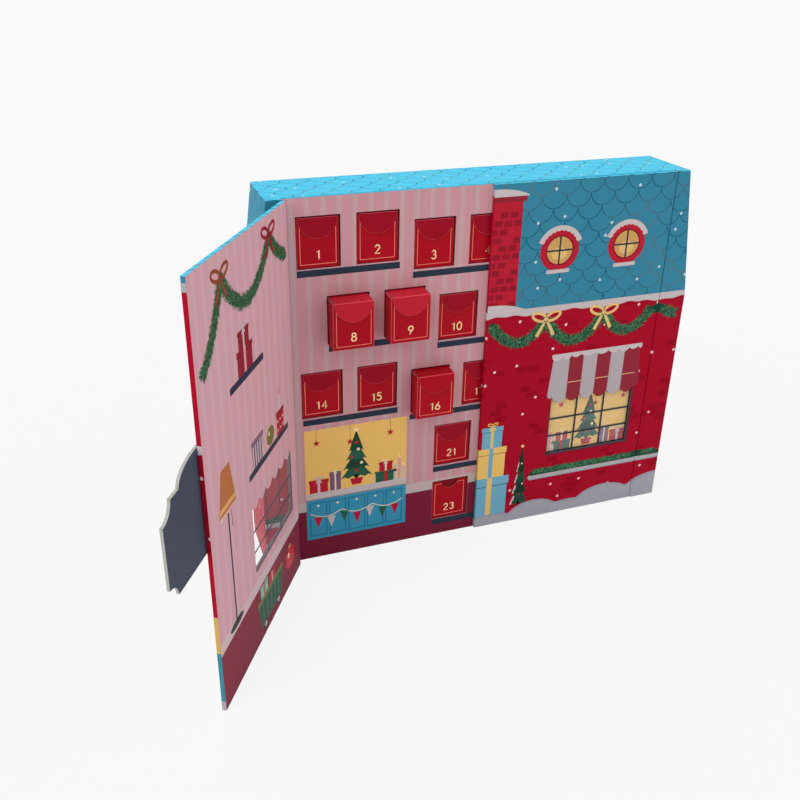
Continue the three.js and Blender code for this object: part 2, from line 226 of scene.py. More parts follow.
def outerInk(finish, x, y, z):  # roof above the eaves, brick wall below
    look = outerPrint
    behind = z.over(caseTop - 0.25, 0.1) * (y - outerY)  # on the top the roof runs on from the front edge
    across = x + y - behind
    level = z + behind
    size = look["scallop"]
    row = (level / size).floor()
    into = level - row * size
    side = (across + row.wrap(2.0) * size).wrap(2 * size) - size
    reach = (side * side + (size - into) * (size - into)).root() - size
    line = abs(reach).under(look["line"] / 2, 0.25)
    golden = finish.grain(look["goldPatch"], 1.0).over(0.5, 0.16)
    lineInk = finish.mix(golden, look["scallopLine"], look["scallopGold"])
    patch, shade = look["roofPatch"]
    roof = finish.mix(finish.grain(patch, 1.0), inkOf(look["roof"], shade), look["roof"])
    # the top face and its eased edge take a lighter blue: painted light from above on the same roof print
    roof = finish.mix(z.over(caseTop - 0.7, 0.4), roof, look["roofHigh"])
    roof = finish.mix(line * look["lineStrength"], roof, lineInk)
    wide, tall = look["brick"]
    course = (level / tall).floor()  # whole bricks; some are darker, mostly side by side
    along = across / wide + course.wrap(2.0) * 0.5
    column = along.floor()
    cell = finish.point(column, course)
    lot = finish.add("ShaderNodeTexWhiteNoise", {"noise_dimensions": "2D"}, {"Vector": cell})["Value"]
    inBrick = abs(along - column - 0.5).under(0.5 - 0.5 * look["mortar"] / wide, 0.04) * \
        abs(level / tall - course - 0.5).under(0.5 - 0.5 * look["mortar"] / tall, 0.08)
    single, cluster = look["brickShare"]
    dark = inBrick * (lot.over(single, 0.01) * finish.grain(2.6, 0.0, cell).over(cluster, 0.01))
    wall = finish.mix(dark * look["darkStrength"], look["wall"], look["darkBrick"])
    ink = finish.mix(level.over(eaves, 0.2), wall, roof)
    values = {"Vector": finish.point(across, level), "Scale": 1 / look["dotPitch"],
              "Randomness": look["dotSpread"]}
    dots = finish.add("ShaderNodeTexVoronoi", {"voronoi_dimensions": "2D"}, values)["Distance"]
    flake = finish.mix(level.over(eaves, 0.2), look["flake"], look["roofFlake"])
    ink = finish.mix((dots * look["dotPitch"]).under(look["dot"], 0.2), ink, flake)
    wave = sum((across * often).sine() * high for often, high in look["waves"])
    band = (level + wave).over(look["bandLow"], 0.2) * level.under(eaves, 0.2)
    return finish.mix(band, ink, look["snow"])


def innerInk(finish, x, z, fade=0.0):  # striped paper over a dado; fainter and paler on the doors
    look = dict(innerPrint, **doorPrint) if fade else innerPrint
    into = abs((x + look["phase"]).wrap(look["pitch"]) - look["pitch"] / 2)
    stripe = into.under(look["stripeWidth"] / 2, look["soft"]) * (1 - fade)
    ink = finish.mix(stripe, look["pink"], look["stripe"])
    ink = finish.mix(z.under(look["dadoTop"] + look["railTall"], 0.2), ink, look["rail"])
    return finish.mix(z.under(look["dadoTop"], 0.2), ink, look["dado"])


seamPrint = {"garland": 186.6, "garlandHalf": 4.6, "garlandReach": 6.2, "garlandLean": 0.3,
             "garlandRag": (1.2, 3.0), "ledgeBush": 10.2, "bushReach": 6.0, "bushRag": (1.0, 2.4),
             "ledgeTall": 3.6, "ledgeShade": 1.0, "snowFoot": 17.3, "snowSlope": 0.54,
             "snowShade": 1.6, "footBand": 1.5, "gap": 1.1, "gapFront": 1.7}
edgePrint = {"cap": houseFront["chimneyTop"] + 4.6, "capTall": 5.0, "foot": 8.4, "giftBlue": 49.0,
             "giftGold": 78.0, "frameTop": -1.0, "cloth": (-6.5, 3.0)}


def ragged(finish, size, reach):  # a needle edge that wanders by this much
    return reach * (finish.grain(size) - 0.5)


def seamInk(finish, x, y, z, ink):  # what the raised prints leave beside a crease
    look = seamPrint
    aside = abs(x) - hinge["x"]
    ledge, snow = outerPrint["ledge"], aside * look["snowSlope"] + look["snowFoot"]
    sprigs = abs(aside) * look["garlandLean"] + abs(z - look["garland"] + ragged(finish, *look["garlandRag"]))
    bush = abs(aside).under(look["garlandReach"], 0.5) * sprigs.under(look["garlandHalf"], 0.5)
    ink = finish.mix(bush, ink, "deepGreen")
    seam = abs(aside).under(crease["clear"] + 0.05, 0.05)
    bushTop = z - ledge - look["ledgeBush"] + ragged(finish, *look["bushRag"])
    top = ledge + look["ledgeTall"]
    bush = abs(aside).under(look["bushReach"], 0.3) * (z.over(top, 0.05) * bushTop.under(0.0, 0.3))
    ink = finish.mix(bush, ink, "deepGreen")
    for low, high, tone in ((ledge - look["ledgeShade"], ledge, "driftShade"), (ledge, top, "ledge"),
                            (0.0, snow + look["snowShade"], "driftShade"), (0.0, snow, "drift")):
        ink = finish.mix(seam * (z.over(low, 0.05) * (z - high).under(0.0, 0.05)), ink, tone)
    ink = finish.mix(z.under(look["footBand"], 0.1), ink, "drift")
    inGap = abs(aside).under(look["gap"], 0.05) * y.over(outerY + look["gapFront"], 0.1)
    return finish.mix(inGap, ink, innerInk(finish, x, z, doorPrint["fade"]))


def doorInk(finish, x, y, z, ink):  # free edge, window's frame and cloth, inner paper
    look, rim, aside = edgePrint, window["rim"], abs(x)
    edge = aside.under(seamPrint["gap"], 0.05)
    capTop = look["cap"] + look["capTall"]
    for low, high, tone in ((eaves, look["cap"], outerPrint["wall"]), (look["cap"], capTop, "drift"),
                            (0.0, look["foot"], "drift"), (look["foot"], look["giftBlue"], "giftBlue"),
                            (look["giftBlue"], look["giftGold"], "giftShade")):
        ink = finish.mix(edge * z.within(low, high, 0.1), ink, tone)
    beside = aside.within(window["left"] - rim, window["right"] + rim)
    inFrame = beside * z.within(window["low"] - rim, window["high"] + look["frameTop"])
    ink = finish.mix(inFrame, ink, outerPrint["frame"])
    step = (window["right"] - window["left"]) / window["scallops"]
    inWindow = aside.under(window["right"], 0.01)
    red = ((aside - window["left"]) / step).floor().wrap(2.0) * inWindow + 1 - inWindow
    clothInk = finish.mix(red, outerPrint["cloth"], outerPrint["clothRed"])
    low, high = (window["high"] + up for up in look["cloth"])
    ink = finish.mix(beside * z.within(low, high), ink, clothInk)
    return finish.mix(y.over(innerY - 0.06, 0.02), ink, innerInk(finish, x, z, doorPrint["fade"]))


def houseFinish(name, turned=False, front=False, door=False):
    finish = Finish(name)
    x, y, z = finish.axes(turned)
    ink = outerInk(finish, x, y, z)
    if front:
        ink = seamInk(finish, x, y, z, ink)
    if door:
        ink = doorInk(finish, x, y, z, ink)
    return finish.paper(ink)


def panelFinish(name):
    finish = Finish(name)
    x, y, z = finish.axes()
    # the panel's top edge takes the top's lighter blue, which is painted light from above
    atTop = z.over(caseTop - 0.8, 0.05)
    return finish.paper(finish.mix(atTop, innerInk(finish, x, z), outerPrint["roofHigh"]))


def cardFinish(name, ink, fleck=0.5):  # unprinted board: fibres and flecks
    finish = Finish(name)
    fibre = finish.grain(0.5, 4.0)
    tone = finish.mix(fibre.over(0.5, 0.5), inkOf(ink, 1 - 0.35 * fleck), ink)
    return finish.close(ink=tone, rough=0.85, shine=0.1, normal=finish.bump(fibre, 0.3, 0.05))


def printedFinish(name, ink, rough=0.4):  # one printed colour
    finish = Finish(name)
    rough = rough + 0.08 * (finish.grain(9.0, 1.0) - 0.5)
    return finish.close(ink=finish.tint(inkOf(ink), 2.2, 0.06), rough=rough, shine=0.1,
                        normal=finish.bump(finish.grain(0.4), 0.1, 0.02))


def stampFinish(name):  # reads each motif's own ink from the mesh
    finish = Finish(name)
    ink = finish.add("ShaderNodeAttribute", {"attribute_name": "ink"})["Color"]
    return finish.paper(ink, speck=1.2, amount=0.06, rough=0.44, shine=0.08)


def metalFinish(name, ink, rough, metal=1.0, grain=0.6, low=0.8, spread=0.1):
    finish = Finish(name)
    scuff = finish.grain(grain, 3.0)
    tone = finish.mix(scuff, inkOf(ink, low), ink)
    return finish.close(ink=tone, rough=rough + spread * (scuff - 0.5), metal=metal)


def foilFinish(name, ink, rough):
    return metalFinish(name, ink, rough, metal=0.75, grain=1.4, low=0.86, spread=0.14)


def leafFinish(name, dark, light):
    finish = Finish(name)
    tone = finish.mix(finish.grain(1.1).over(0.5, 0.22), dark, light)
    return finish.close(ink=tone, rough=0.5, shine=0.14)


def filmFinish(name):  # clear film with a faint ripple
    finish = Finish(name)
    ripple = finish.grain(22.0, 1.0)
    return finish.close(ink=inkOf((226, 236, 240)), rough=0.05 + 0.05 * ripple, shine=0.5,
                        alpha=0.05 + 0.04 * ripple, normal=finish.bump(ripple, 0.25, 1.2))


finishes = {
    "case": houseFinish("wrappedCase"),
    "front": houseFinish("wrappedFrontStrip", front=True),
    "leftDoor": houseFinish("wrappedLeftDoor", turned=True, front=True, door=True),
    "rightDoor": houseFinish("wrappedRightDoor", front=True, door=True),
    "panel": panelFinish("stripedPanel"),
    "rawEdge": cardFinish("rawCardEdge", (186, 134, 140)),
    "darkEdge": cardFinish("darkCutEdge", (104, 80, 88)),
    "redEdge": cardFinish("redCardEdge", (214, 120, 132), fleck=0.3),
    "greyCard": cardFinish("greyCard", (124, 66, 66)),
    "carton": printedFinish("cartonRed", (174, 0, 26)),
    # paler red on folds and eased edges: partly worn ink, partly a painted highlight
    "fold": printedFinish("foldWearAndHighlightRed", (216, 74, 88)),
    # lit and shaded copies of one lid red: painted shade on shut and tucked lids, painted light on lifted
    # ones
    "lid": printedFinish("lidRed", (155, 0, 30)),
    "lidOut": printedFinish("liftedLidRed", (194, 28, 50)),
    "lidTucked": printedFinish("tuckedLidRed", (128, 0, 22)),
    "slate": printedFinish("slatePaper", (68, 73, 90), rough=0.6),
    "cream": cardFinish("creamBoardEdge", (178, 176, 168)),
    "stamp": stampFinish("printedMotifs"),
    "foil": foilFinish("goldFoil", (255, 214, 160), 0.28),
    "copper": foilFinish("copperFoil", (250, 138, 116), 0.34),
    "needles": leafFinish("spruceNeedles", (13, 44, 34), (38, 94, 62)),
    "needleTips": leafFinish("paleSpruceTips", (24, 70, 46), (80, 136, 90)),
    "film": filmFinish("clearFilm"),
    "nickel": metalFinish("magnetNickel", (180, 182, 186), 0.3),
    "steel": metalFinish("keeperSteel", (150, 152, 156), 0.4),
}
print("finishes made:", len(finishes))

boards = {"caseEase": 0.9, "panelEase": 0.18, "doorEase": 0.7, "plaqueEase": 0.42, "stripEase": 0.35,
          "corner": 35, "weld": 2e-6, "rim": (0.5, 4.5)}


def eased(node, width, names, isCut=None, segments=2, fold=False):
    # a copy of a CAD piece with its corners eased; cut sides take the second finish, eased folds the third
    work = bmesh.new()
    work.from_mesh(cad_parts[node].data)
    bmesh.ops.remove_doubles(work, verts=work.verts, dist=boards["weld"])
    bmesh.ops.recalc_face_normals(work, faces=work.faces)
    if isCut:
        for face in work.faces:
            face.material_index = int(isCut(face.calc_center_median() / mm, face.normal))
    mesh = bpy.data.meshes.new(node + "Eased")
    work.to_mesh(mesh)
    work.free()
    for name in names:
        mesh.materials.append(finishes[name])
    holder = link(bpy.data.objects.new(node + "Eased", mesh))
    bevel = holder.modifiers.new("eased", "BEVEL")
    bevel.width, bevel.segments, bevel.limit_method = width * mm, segments, "ANGLE"
    bevel.angle_limit, bevel.use_clamp_overlap = math.radians(boards["corner"]), True
    bevel.material = 2 if fold else -1
    soft = meshOf(holder)
    bpy.data.meshes.remove(mesh)  # its object goes with it
    return soft


leftPivot = Vector((-hinge["x"], outerY, 0)) * mm
swingOpen = (Matrix.Translation(leftPivot) @ Matrix.Rotation(math.radians(-hinge["opening"]), 4, "Z")
             @ Matrix.Translation(-leftPivot))
shut = swingOpen.inverted()
leaves = (("right", "right_door", 1, None), ("left", "left_door", -1, swingOpen))
cutZone = {"from": 3, "to": 150, "low": 10, "high": 290}  # a door's die-cut sides lie inside this


def flat(normal):  # a face that looks to the front or the back
    return abs(normal.y) > 0.5


def windowCut(toShut):  # the die-cut sides of a door's window
    def test(centre, normal):
        centre, normal = (toShut @ (centre * mm)) / mm, toShut.to_3x3() @ normal
        across = cutZone["from"] < abs(centre.x) < cutZone["to"]
        return across and cutZone["low"] < centre.z < cutZone["high"] and not flat(normal)
    return test


def plaqueEdge(centre, normal):
    return not flat(shut.to_3x3() @ normal)


def panelEdge(centre, normal):  # openings stay raw card, the rim is under the case's wrap
    near, out = boards["rim"]
    rim = centre.z > caseTop - near or centre.z < near or abs(centre.x) > hinge["x"] + out
    return 0 if flat(normal) else 2 if rim else 1


caseMesh = eased("outer_case", boards["caseEase"], ["case"], segments=3)
settle("wrappedCaseShell", caseMesh, "case", ["outer_case"])
panelMesh = eased("front_panel", boards["panelEase"], ["panel", "rawEdge", "case"], panelEdge, segments=1)
settle("stripedFrontPanel", panelMesh, "case", ["front_panel"])
for name in ("left", "right"):
    strip = name + "_hinge_strip"
    settle(name + "FrontStrip", eased(strip, boards["stripEase"], ["front"]), "case", [strip])
for name, body, side, turn in leaves[::-1]:
    cut = windowCut(turn.inverted() if turn else Matrix())
    doorMesh = eased(body, boards["doorEase"], [name + "Door", "darkEdge"], cut, segments=3)
    settle("wrapped" + name.capitalize() + "Door", doorMesh, body, [body])
plaqueMesh = eased("closure_plaque", boards["plaqueEase"], ["slate", "cream", "slate"], plaqueEdge, fold=True)
settle("closurePlaqueBoard", plaqueMesh, "left_door", ["closure_plaque"])
for node, name in (("cell_insert", "greyCard"), ("left_window_film", "film"), ("right_window_film", "film"),
                   ("closure_magnet", "nickel"), ("keeper_disc", "steel")):
    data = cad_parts[node].data
    data.materials.clear()
    data.materials.append(finishes[name])
print("boards softened")

drawer = {"cartonEase": 0.22, "lidEase": 0.26, "flare": 0.4, "flareOut": 0.62, "flareDrop": 15.4,
          "curl": 1.6, "pulled": (8, 9, 16),
          "lidTones": {8: "lidOut", 9: "lidOut", 16: "carton", 23: "lidTucked"}, "tucked": 23,
          "card": 0.6, "notchDeep": 9}


def cartonCut(low, high):  # the rim of the walls and the thumb notch
    def test(centre, normal):
        rim = normal.z > 0.9 and centre.z > high.z / mm - 0.1
        atFront = low.y / mm + 0.05 < centre.y < low.y / mm + drawer["card"]
        upper = centre.z > high.z / mm - drawer["notchDeep"]
        notch = atFront and upper and abs(normal.y) < 0.3 and abs(normal.x) < 0.999
        return 2 if abs(normal.x) > 0.2 and abs(normal.y) > 0.2 and not notch else 1 if rim or notch else 0
    return test


def lidCut(front):  # the lid's long sides and the round edge of its tongue
    def test(centre, normal):
        cut = abs(normal.x) > 0.9 or (centre.y < front / mm and abs(normal.y) < 0.3 and normal.z < 0.5)
        return 1 if cut else 2 if normal.y < -0.2 and normal.z > 0.2 else 0
    return test


def flareTongue(mesh, number, low, top):  # the tongue springs a little off the front
    lift = drawer["flareOut"] if number in drawer["pulled"] else drawer["flare"]
    for vertex in mesh.vertices:
        if vertex.co.y < low.y - 0.1 * mm:
            drop = (top - vertex.co.z) / (drawer["flareDrop"] * mm)
            vertex.co.y -= lift * mm * max(0.0, drop) ** drawer["curl"]


for number in range(1, 25):
    tag = "%02d" % number
    body, lid = "drawer_" + tag, "lid_" + tag
    low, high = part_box(body)
    cartonTones = ["carton", "redEdge", "fold"]
    cartonMesh = eased(body, drawer["cartonEase"], cartonTones, cartonCut(low, high), fold=True)
    settle("foldingCarton" + tag, cartonMesh, body, [body])
    # lifted lids take the lit red or the carton's red, shut lids a painted shade, the tucked lid a deeper
    # painted shade
    lidTone = drawer["lidTones"].get(number, "lid")
    lidMesh = eased(lid, drawer["lidEase"], [lidTone, "redEdge", "fold"], lidCut(low.y), fold=True)
    if number != drawer["tucked"]:
        flareTongue(lidMesh, number, low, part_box(lid)[1].z)
    settle("cartonLid" + tag, lidMesh, body, [lid])
print("24 cartons and lids folded")

stamping = {"step": 0.014, "first": 0.02, "sink": 0.02}


def sheetAt(y, outward=-1, turn=None):  # local right, up and out, on a plane of the shut box
    place = Matrix(((-outward, 0, 0), (0, 0, 1), (0, outward, 0))).transposed().to_4x4()
    place.translation = Vector((0, y * mm, 0))
    return turn @ place if turn else place


def arc(a, b, wide, tall, start, end, count=12):  # points of an arc with both its ends
    return [(a + wide * math.cos(t), b + tall * math.sin(t)) for t in
            (math.radians(start + (end - start) * i / count) for i in range(count + 1))]


class Sheet:
    # flat motifs in mm, laid over each other like inks; the last stamp lies on top
    def __init__(self, flip=1):
        self.points, self.faces, self.inks, self.flip = [], [], [], flip

    def shape(self, outline, ink, level=1):
        outline = [(self.flip * a, b) for a, b in outline]
        if sum(p[0] * q[1] - q[0] * p[1] for p, q in zip(outline, outline[1:] + outline[:1])) < 0:
            outline.reverse()
        height = (stamping["first"] + stamping["step"] * level) * mm
        count, base = len(outline), len(self.points)
        under = base + count
        self.points += [(a * mm, b * mm, height) for a, b in outline]
        self.points += [(a * mm, b * mm, -stamping["sink"] * mm) for a, b in outline]
        for i, j, k in tessellate_polygon([[Vector((a, b, 0)) for a, b in outline]]):
            p, q, r = outline[i], outline[j], outline[k]
            if (q[0] - p[0]) * (r[1] - p[1]) - (r[0] - p[0]) * (q[1] - p[1]) < 0:
                j, k = k, j
            self.faces += [(base + i, base + j, base + k), (under + i, under + k, under + j)]
            self.inks += [ink, ink]
        for i in range(count):
            j = (i + 1) % count
            self.faces.append((base + i, under + i, under + j, base + j))
            self.inks.append(ink)

    def block(self, left, low, right, high, ink, level=1):
        self.shape([(left, low), (right, low), (right, high), (left, high)], ink, level)

    def taper(self, a, halfLow, low, halfHigh, high, ink, level=1):  # a block wider at one end
        corners = [(a - halfLow, low), (a + halfLow, low), (a + halfHigh, high), (a - halfHigh, high)]
        self.shape(corners, ink, level)

    def oval(self, a, b, wide, tall, ink, level=1, count=24):
        self.shape(arc(a, b, wide, tall, 0, 360, count)[:-1], ink, level)

    def line(self, path, width, ink, level=1, closed=False):  # a ribbon of one width along a path
        path = [Vector(p) for p in path]
        count = len(path)
        left, right = [], []
        for i, p in enumerate(path):
            before = path[i - 1] if i or closed else p
            after = path[(i + 1) % count] if i < count - 1 or closed else p
            along = (after - before).normalized()
            side = Vector((-along.y, along.x)) * (width[i] if isinstance(width, list) else width) / 2
            left.append(tuple(p + side))
            right.append(tuple(p - side))
        if closed:
            for i in range(count):
                j = (i + 1) % count
                self.shape([left[i], left[j], right[j], right[i]], ink, level)
        else:
            self.shape(left + right[::-1], ink, level)

    def make(self, name, place, body, slotName=None, finishName=None):
        mesh = bpy.data.meshes.new(name)
        mesh.from_pydata(self.points, [], self.faces)
        foils = [key for key in ("foil", "copper") if key in self.inks]
        for key in [finishName or "stamp"] + foils:
            mesh.materials.append(finishes[key])
        layer = mesh.attributes.new("ink", "FLOAT_COLOR", "CORNER")
        for polygon, ink in zip(mesh.polygons, self.inks):
            tone = (0.8, 0.6, 0.3, 1.0) if ink in foils else inkOf(ink)
            polygon.material_index = foils.index(ink) + 1 if ink in foils else 0
            for corner in polygon.loop_indices:
                layer.data[corner].color = tone
        mesh.transform(place)
        return settle(name, mesh, body)


def bow(sheet, a, b, size, tone, level=9):  # two loops, a knot and two tails
    for side in (-1, 1):
        loop = []
        for i in range(16):
            t = 2 * math.pi * i / 16
            out, rise = 0.44 - 0.44 * math.cos(t), 0.2 * math.sin(t)
            loop.append((a + side * size * (out * 0.92 - rise * 0.3), b + size * (rise + out * 0.34)))
        sheet.line(loop, size * 0.15, tone, level, closed=True)
        tail = [(a, b), (a + side * size * 0.22, b - size * 0.4), (a + side * size * 0.5, b - size * 0.95)]
        sheet.line(tail, [size * 0.1, size * 0.17, size * 0.2], tone, level)
    sheet.oval(a, b, size * 0.13, size * 0.12, tone, level + 1, 10)


def gift(sheet, left, low, wide, tall, wrap, ribbon, level=2, topBow=True, cut=-1000.0):
    # a box with a lid and a ribbon; what lies left of cut is on the other door
    shares = ((0.0, 0.0, 1.0, 1.0, wrap, 0), (-0.04, 0.8, 1.04, 1.0, wrap, 1),
              (0.0, 0.77, 1.0, 0.8, shaded(wrap), 1), (0.43, 0.0, 0.57, 1.0, ribbon, 2))
    for start, bottom, stop, top, tone, up in shares:  # box, lid, the lid's shade, ribbon
        start, stop = max(left + wide * start, cut), left + wide * stop
        if stop > cut:
            sheet.block(start, low + tall * bottom, stop, low + tall * top, tone, level + up)
    if topBow:
        bow(sheet, left + wide / 2, low + tall + wide * 0.08, wide * 0.3, ribbon, level + 3)


def fir(sheet, a, low, wide, tall, tiers, green, pot=None, dots=(), level=3, snowy=False):
    sheet.block(a - wide * 0.05, low, a + wide * 0.05, low + tall * 0.16, "brown", level)
    if pot:
        sheet.taper(a, wide * 0.14, low - tall * 0.02, wide * 0.2, low + tall * 0.1, pot, level + 1)
    for tier in range(tiers):
        base = low + tall * (0.12 + 0.66 * tier / tiers)
        half = wide / 2 * (1 - 0.72 * tier / tiers)
        top = min(base + tall * 0.34, low + tall) if tier < tiers - 1 else low + tall
        fringe = [(a - half + half * i / 4, base + tall * (0.022 if i % 2 else -0.012)) for i in range(9)]
        sheet.shape([(a, top)] + fringe[::-1], shaded(green) if tier % 2 else green, level + tier)
        if snowy:  # snow lying on the left slope
            shares = ((0.99, 0.01), (0.62, 0.39), (0.46, 0.4), (0.52, 0.2), (0.68, 0.17), (0.7, 0.04))
            slope = [(a - half * out, base + (top - base) * up) for out, up in shares]
            sheet.shape(slope, "pale", level + tier + 1)
    ball, over = wide * 0.05, level + tiers + 1
    for i, tone in enumerate(dots):
        t = (i + 0.7) / (len(dots) + 0.6)
        swing = math.sin(i * 2.3) * (1 - t) * wide * 0.3
        sheet.oval(a + swing, low + tall * (0.16 + 0.72 * t), ball, ball, tone, over, 10)
    star(sheet, a, low + tall, wide * 0.12, over)


def star(sheet, a, b, size, level, tone="foil"):
    tips = []
    for i in range(10):
        out, turn = size * (0.42 if i % 2 else 1.0), math.pi * i / 5
        tips.append((a + out * math.sin(turn), b + out * math.cos(turn)))
    sheet.shape(tips, tone, level)


def roundWindow(sheet, a, b, size):  # attic light: rim, warm panes, cross bars, snow
    for level, (share, tone) in enumerate(((1.0, "red"), (0.74, "deepRed"), (0.66, "pane")), 2):
        sheet.oval(a, b, size * share, size * share, tone, level, 32)
    sheet.oval(a, b - size * 0.16, size * 0.4, size * 0.3, "lampLight", 5)
    glass, bar = size * 0.66, 0.7
    sheet.block(a - bar, b - glass, a + bar, b + glass, "navy", 6)
    sheet.block(a - glass, b - bar, a + glass, b + bar, "navy", 6)
    reach = (size * 0.98, size * 0.93)  # the snow's lower edge is wavy
    wavy = [(a + reach[i % 2] * x, b + reach[i % 2] * y)
            for i, (x, y) in enumerate(arc(0, 0, 1, 1, 158, 22, 20))]
    sheet.shape(arc(a, b, size * 1.2, size * 1.2, 22, 158, 20) + wavy, "pale", 7)
    sheet.block(a - size * 0.6, b - size * 1.1, a + size * 0.6, b - size * 0.92, "pale", 7)


def snowCap(sheet, stop, low, tall):  # snow that thins from the meeting line to stop
    start = crease["meeting"]
    top = [(start + (stop - start) * i / 12, low + tall * (1 - (i / 12) ** 2.6)) for i in range(13)]
    sheet.shape([(stop, low - 0.8), (start, low - 0.8)] + top, "pale", 3)


drip = {"step": (8.0, 14.0), "drop": (0.7, 1.5), "corner": (0.8, 0.6)}


def dripBand(sheet, left, right, top, thick, seed):  # settled snow with a wavy lower edge
    dice = random.Random(seed)
    lower = []
    a = left
    while a < right:
        step = dice.uniform(*drip["step"])
        drop = thick * dice.uniform(*drip["drop"])
        for t in (i / 10 for i in range(10)):
            if a + step * t < right:
                lower.append((a + step * t, top - thick * 0.5 - drop * 0.5 * math.sin(math.pi * t) ** 0.7))
        a += step
    lower.append((right, top - thick * 0.5))
    cut, down = drip["corner"]
    upper = [(right, top - down), (right - cut, top), (left + cut, top), (left, top - down)]
    sheet.shape(upper + lower, "pale", 5)


awning = {"gap": 0.7, "stitch": (12.0, 12.5, 0.4), "lean": ((4.6, 3.4), (4.0, 0.6), (2.2, -0.7)),
          "leanTop": 1.6, "up": 2.6, "snow": (3.4, 4.6, 5.0), "seed": 7}


def valance(sheet, top, level=3):  # striped cloth that ends in the window's scallops
    left, drop, count = window["left"], window["drop"], window["scallops"]
    low, step = window["high"] + awning["gap"], (window["right"] - left) / count
    for i in range(count):
        start, stop = left + i * step, left + i * step + step
        lower = [(start + step * t, low - 4 * drop * t * (1 - t)) for t in (j / 8 for j in range(9))]
        upper = [(stop, top), (start, top)]
        if i == 0:  # the outer stripes run past the window and lean out
            lower = [(start - out, low + up) for out, up in awning["lean"]] + lower
            upper[1] = (start - awning["leanTop"], top)
        if i == count - 1:
            lower += [(stop + out, low + up) for out, up in awning["lean"][::-1]]
            upper[0] = (stop + awning["leanTop"], top)
        sheet.shape(lower + upper, outerPrint["clothRed" if i % 2 else "cloth"], level)
        if i % 2:
            stitch, stitchTop, end = awning["stitch"]
            sheet.block(start + end, low + stitch, stop - end, low + stitchTop, "foil", level + 1)


# a hump is given by its centre, half width and height
drifts = {"foot": 1.0, "level": 2.0, "least": 3.5, "shade": 1.6, "steps": 64,
          "humps": ((14.0, 24.0, 8.0), (56.0, 25.0, 14.5), (90.0, 26.0, 8.5), (126.0, 30.0, 17.5),
                    (180.0, 36.0, 21.0))}


def mounds(sheet, left, right, level):  # snow along the foot, in the drift ink with its painted shade
    count = drifts["steps"]
    for shade, lift, extra in (("driftShade", drifts["shade"], 0), ("drift", 0.0, 1)):
        top = []
        for a in (left + (right - left) * i / count for i in range(count + 1)):
            rise = drifts["least"]
            for middle, half, high in drifts["humps"]:
                rise = max(rise, high * math.sqrt(max(0.0, 1 - ((a - middle) / half) ** 2)))
            top.append((a, drifts["level"] + lift + rise))
        sheet.shape([(left, drifts["foot"]), (right, drifts["foot"])] + top[::-1], shade, level + extra)


def candle(sheet, a, low, wide, tall, tone, level):
    sheet.block(a - wide / 2, low, a + wide / 2, low + tall, tone, level)
    sheet.oval(a, low + tall + wide * 0.6, wide * 0.28, wide * 0.6, "foil", level + 1, 10)


def bauble(sheet, a, b, size, tone, level=3):
    sheet.oval(a, b, size, size, tone, level, 18)
    sheet.block(a - size * 0.22, b + size * 0.94, a + size * 0.22, b + size * 1.2, "foil", level + 1)
    sheet.oval(a - size * 0.35, b + size * 0.35, size * 0.2, size * 0.26, "cream", level + 1, 8)


shelfBars = {
    "thick": 4.4,
    "runs": ((-146.4, -70.2, 243.0), (-60.0, 60.0, 234.2), (-124.4, -49.0, 183.6), (-38.7, 38.7, 175.2),
             (-145.7, -70.2, 124.2), (-60.0, 60.0, 116.0), (-38.4, 38.4, 62.9), (-37.3, 37.3, 10.4)),
    "paired": (0, 2, 4),  # these have a twin on the other side
}
parlour = {
    "left": 62.0, "right": 145.5, "low": 18.2, "high": 119.2, "cabinet": 60.0, "worktop": 2.2,
    "plinth": 3.0, "apron": 7.0, "board": (3.6, 4.4, 3.4),
    "doors": 5, "doorStep": 15.9, "doorWide": 14.2, "doorRim": 0.8, "doorFirst": 2.5, "knob": (3.2, 0.9),
    "swagSpan": 77.5, "swagDrop": 4.5, "swagTop": 43.0, "swagEnd": 3.0, "swags": 3,
    "pennants": 7, "pennantStep": 10.8, "pennantFirst": 9.4, "pennant": (3.4, 10.5),
    "fir": (104.0, 27, 49, 4), "firUp": 3.0,
    "candleWide": 2.4, "candles": ((71.5, 15, "pale"), (67.9, 20, "rose"), (64.3, 12, "pale")),
    "stars": ((136.0, 9), (109.0, 12), (76.0, 9)), "star": 3.2,
    "gifts": ((142.5, 0, 15, 12, "red", "pale", True), (126.0, 0, 9, 17, "plum", "cream", True),
              (88.0, 0, 17, 10, "green", "red", False), (85.0, 10, 11, 8.5, "red", "cream", True)),
}


